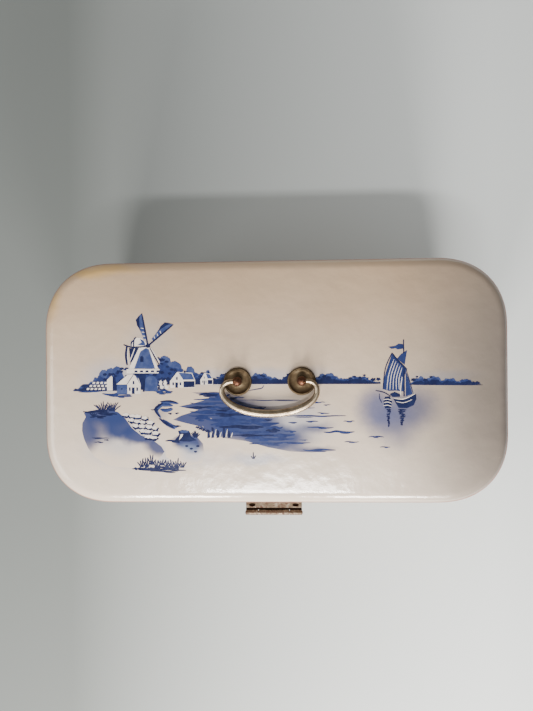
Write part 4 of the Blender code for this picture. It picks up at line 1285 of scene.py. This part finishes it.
# %% Boat: mast, gaff, sails, pennant, hull and its broken reflection
stroke("line", [(127.4, 27), (127.2, 33), (127.2, 40)], 1.2, 1.0, 0.8)
shape("sail", [
    (126.8, 35.4), (122.5, 36), (119, 33.8), (112.6, 33), (115.6, 31), (119.4, 31.6), (121.6, 30.4),
    (126.8, 31.2),
])
shape("sail", [(130.6, 29.8), (124.6, 25.8), (121, 21.6), (128.2, 15.4)])
shape("sail", [
    (116, 26.6), (120.5, 20.5), (125.5, 14.8), (130, 11.4), (127.4, 2), (127.2, -10.4), (120, -9.4),
    (113, -9.6), (107.4, -8), (108.2, 1), (110.8, 11), (114, 20),
])
stroke("line", [(116, 27), (121, 20.6), (130.4, 11)], 1.4, 0.6, 0.6)
stroke("line", [(116, 27), (109.6, 12), (107.2, -8)], 1.1, 0.6, 0.6)
for share in (0.14, 0.3, 0.47, 0.64, 0.8):
    top = (116.4 + 11.6 * share, 23 - 12.4 * share)
    foot = (108.4 + 18 * share, -8.4)
    belly = ((top[0] + foot[0]) / 2 - 1.6, (top[1] + foot[1]) / 2)
    stroke("roof", [top, belly, foot], 1.7, 0.4, 0.6)
    stroke("white", [top, belly, foot], 0.6, 0.2, 0.5)
stroke("line", [(127.6, 14), (127.4, -4), (127.4, -15)], 1.5, 0.8, 0.8)
shape("sail", [(129, 10), (131.6, 2), (135.4, -12.6), (129, -15)])
stroke("line", [(129.6, 11), (133, -1), (136, -12)], 0.9, 0.5, 0.5)
stroke("white", [(125.6, 4), (124.2, -6), (124, -14)], 0.9, 0.5, 0.5)
shape("line", [(113.6, -12.6), (118.4, -10.6), (123.6, -13), (123.6, -15.4), (116, -15.6)])
shape("line", [
    (117, -17.4), (126, -18.4), (138.8, -12.6), (139, -17.6), (136.6, -23.4), (130, -26.4), (122, -26),
])
shape("roof", [(119, -19.8), (127, -20.6), (136, -16.8), (134.6, -22), (129, -24.6), (123, -24.4)])
stroke("white", [(117.6, -16.6), (127, -17.4), (138, -12.4)], 0.9, 0.4, 0.4)
stroke("white", [(119.6, -20), (127, -21), (135, -18)], 0.6, 0.4, 0.4)
shape("line", [(109, -15.5), (113.6, -15), (115.8, -20), (114.8, -26), (109, -26.6), (107.4, -20.5)])
for y in (-17.6, -20.4, -23.4):
    stroke("white", [(107.6, y - 0.6), (111.6, y), (115.4, y - 1.2)], 0.7, 0.5, 0.5, 3)
stroke("line", [(100, -9.2), (108, -11), (114.6, -15)], 1.0, 0.3, 0.7)
stroke("line", [(103.6, -12), (104, -17), (106, -21)], 0.8, 0.4, 0.4)
for x, top, low, width in ((112.6, -28, -45, 4.4), (125.4, -28, -42, 8.0)):
    y = top
    while y > low:
        narrow = (y - low) / (top - low)
        reach = width / 2 * (0.25 + 0.75 * narrow)
        lean = rng.uniform(-0.7, 0.7)
        ripple(x - reach + lean, x + reach + lean, y, "line", 1.3)
        y -= rng.uniform(1.7, 2.3)
print("boat painted:", {k: len(v) for k, v in paints.items()})

# %% Lay the passes
for name, material, thick in passes:
    laid = lay_paint(f"painting_{name}", paints[name], material, thick * MM)
    print(laid.name, len(laid.data.polygons), "faces")
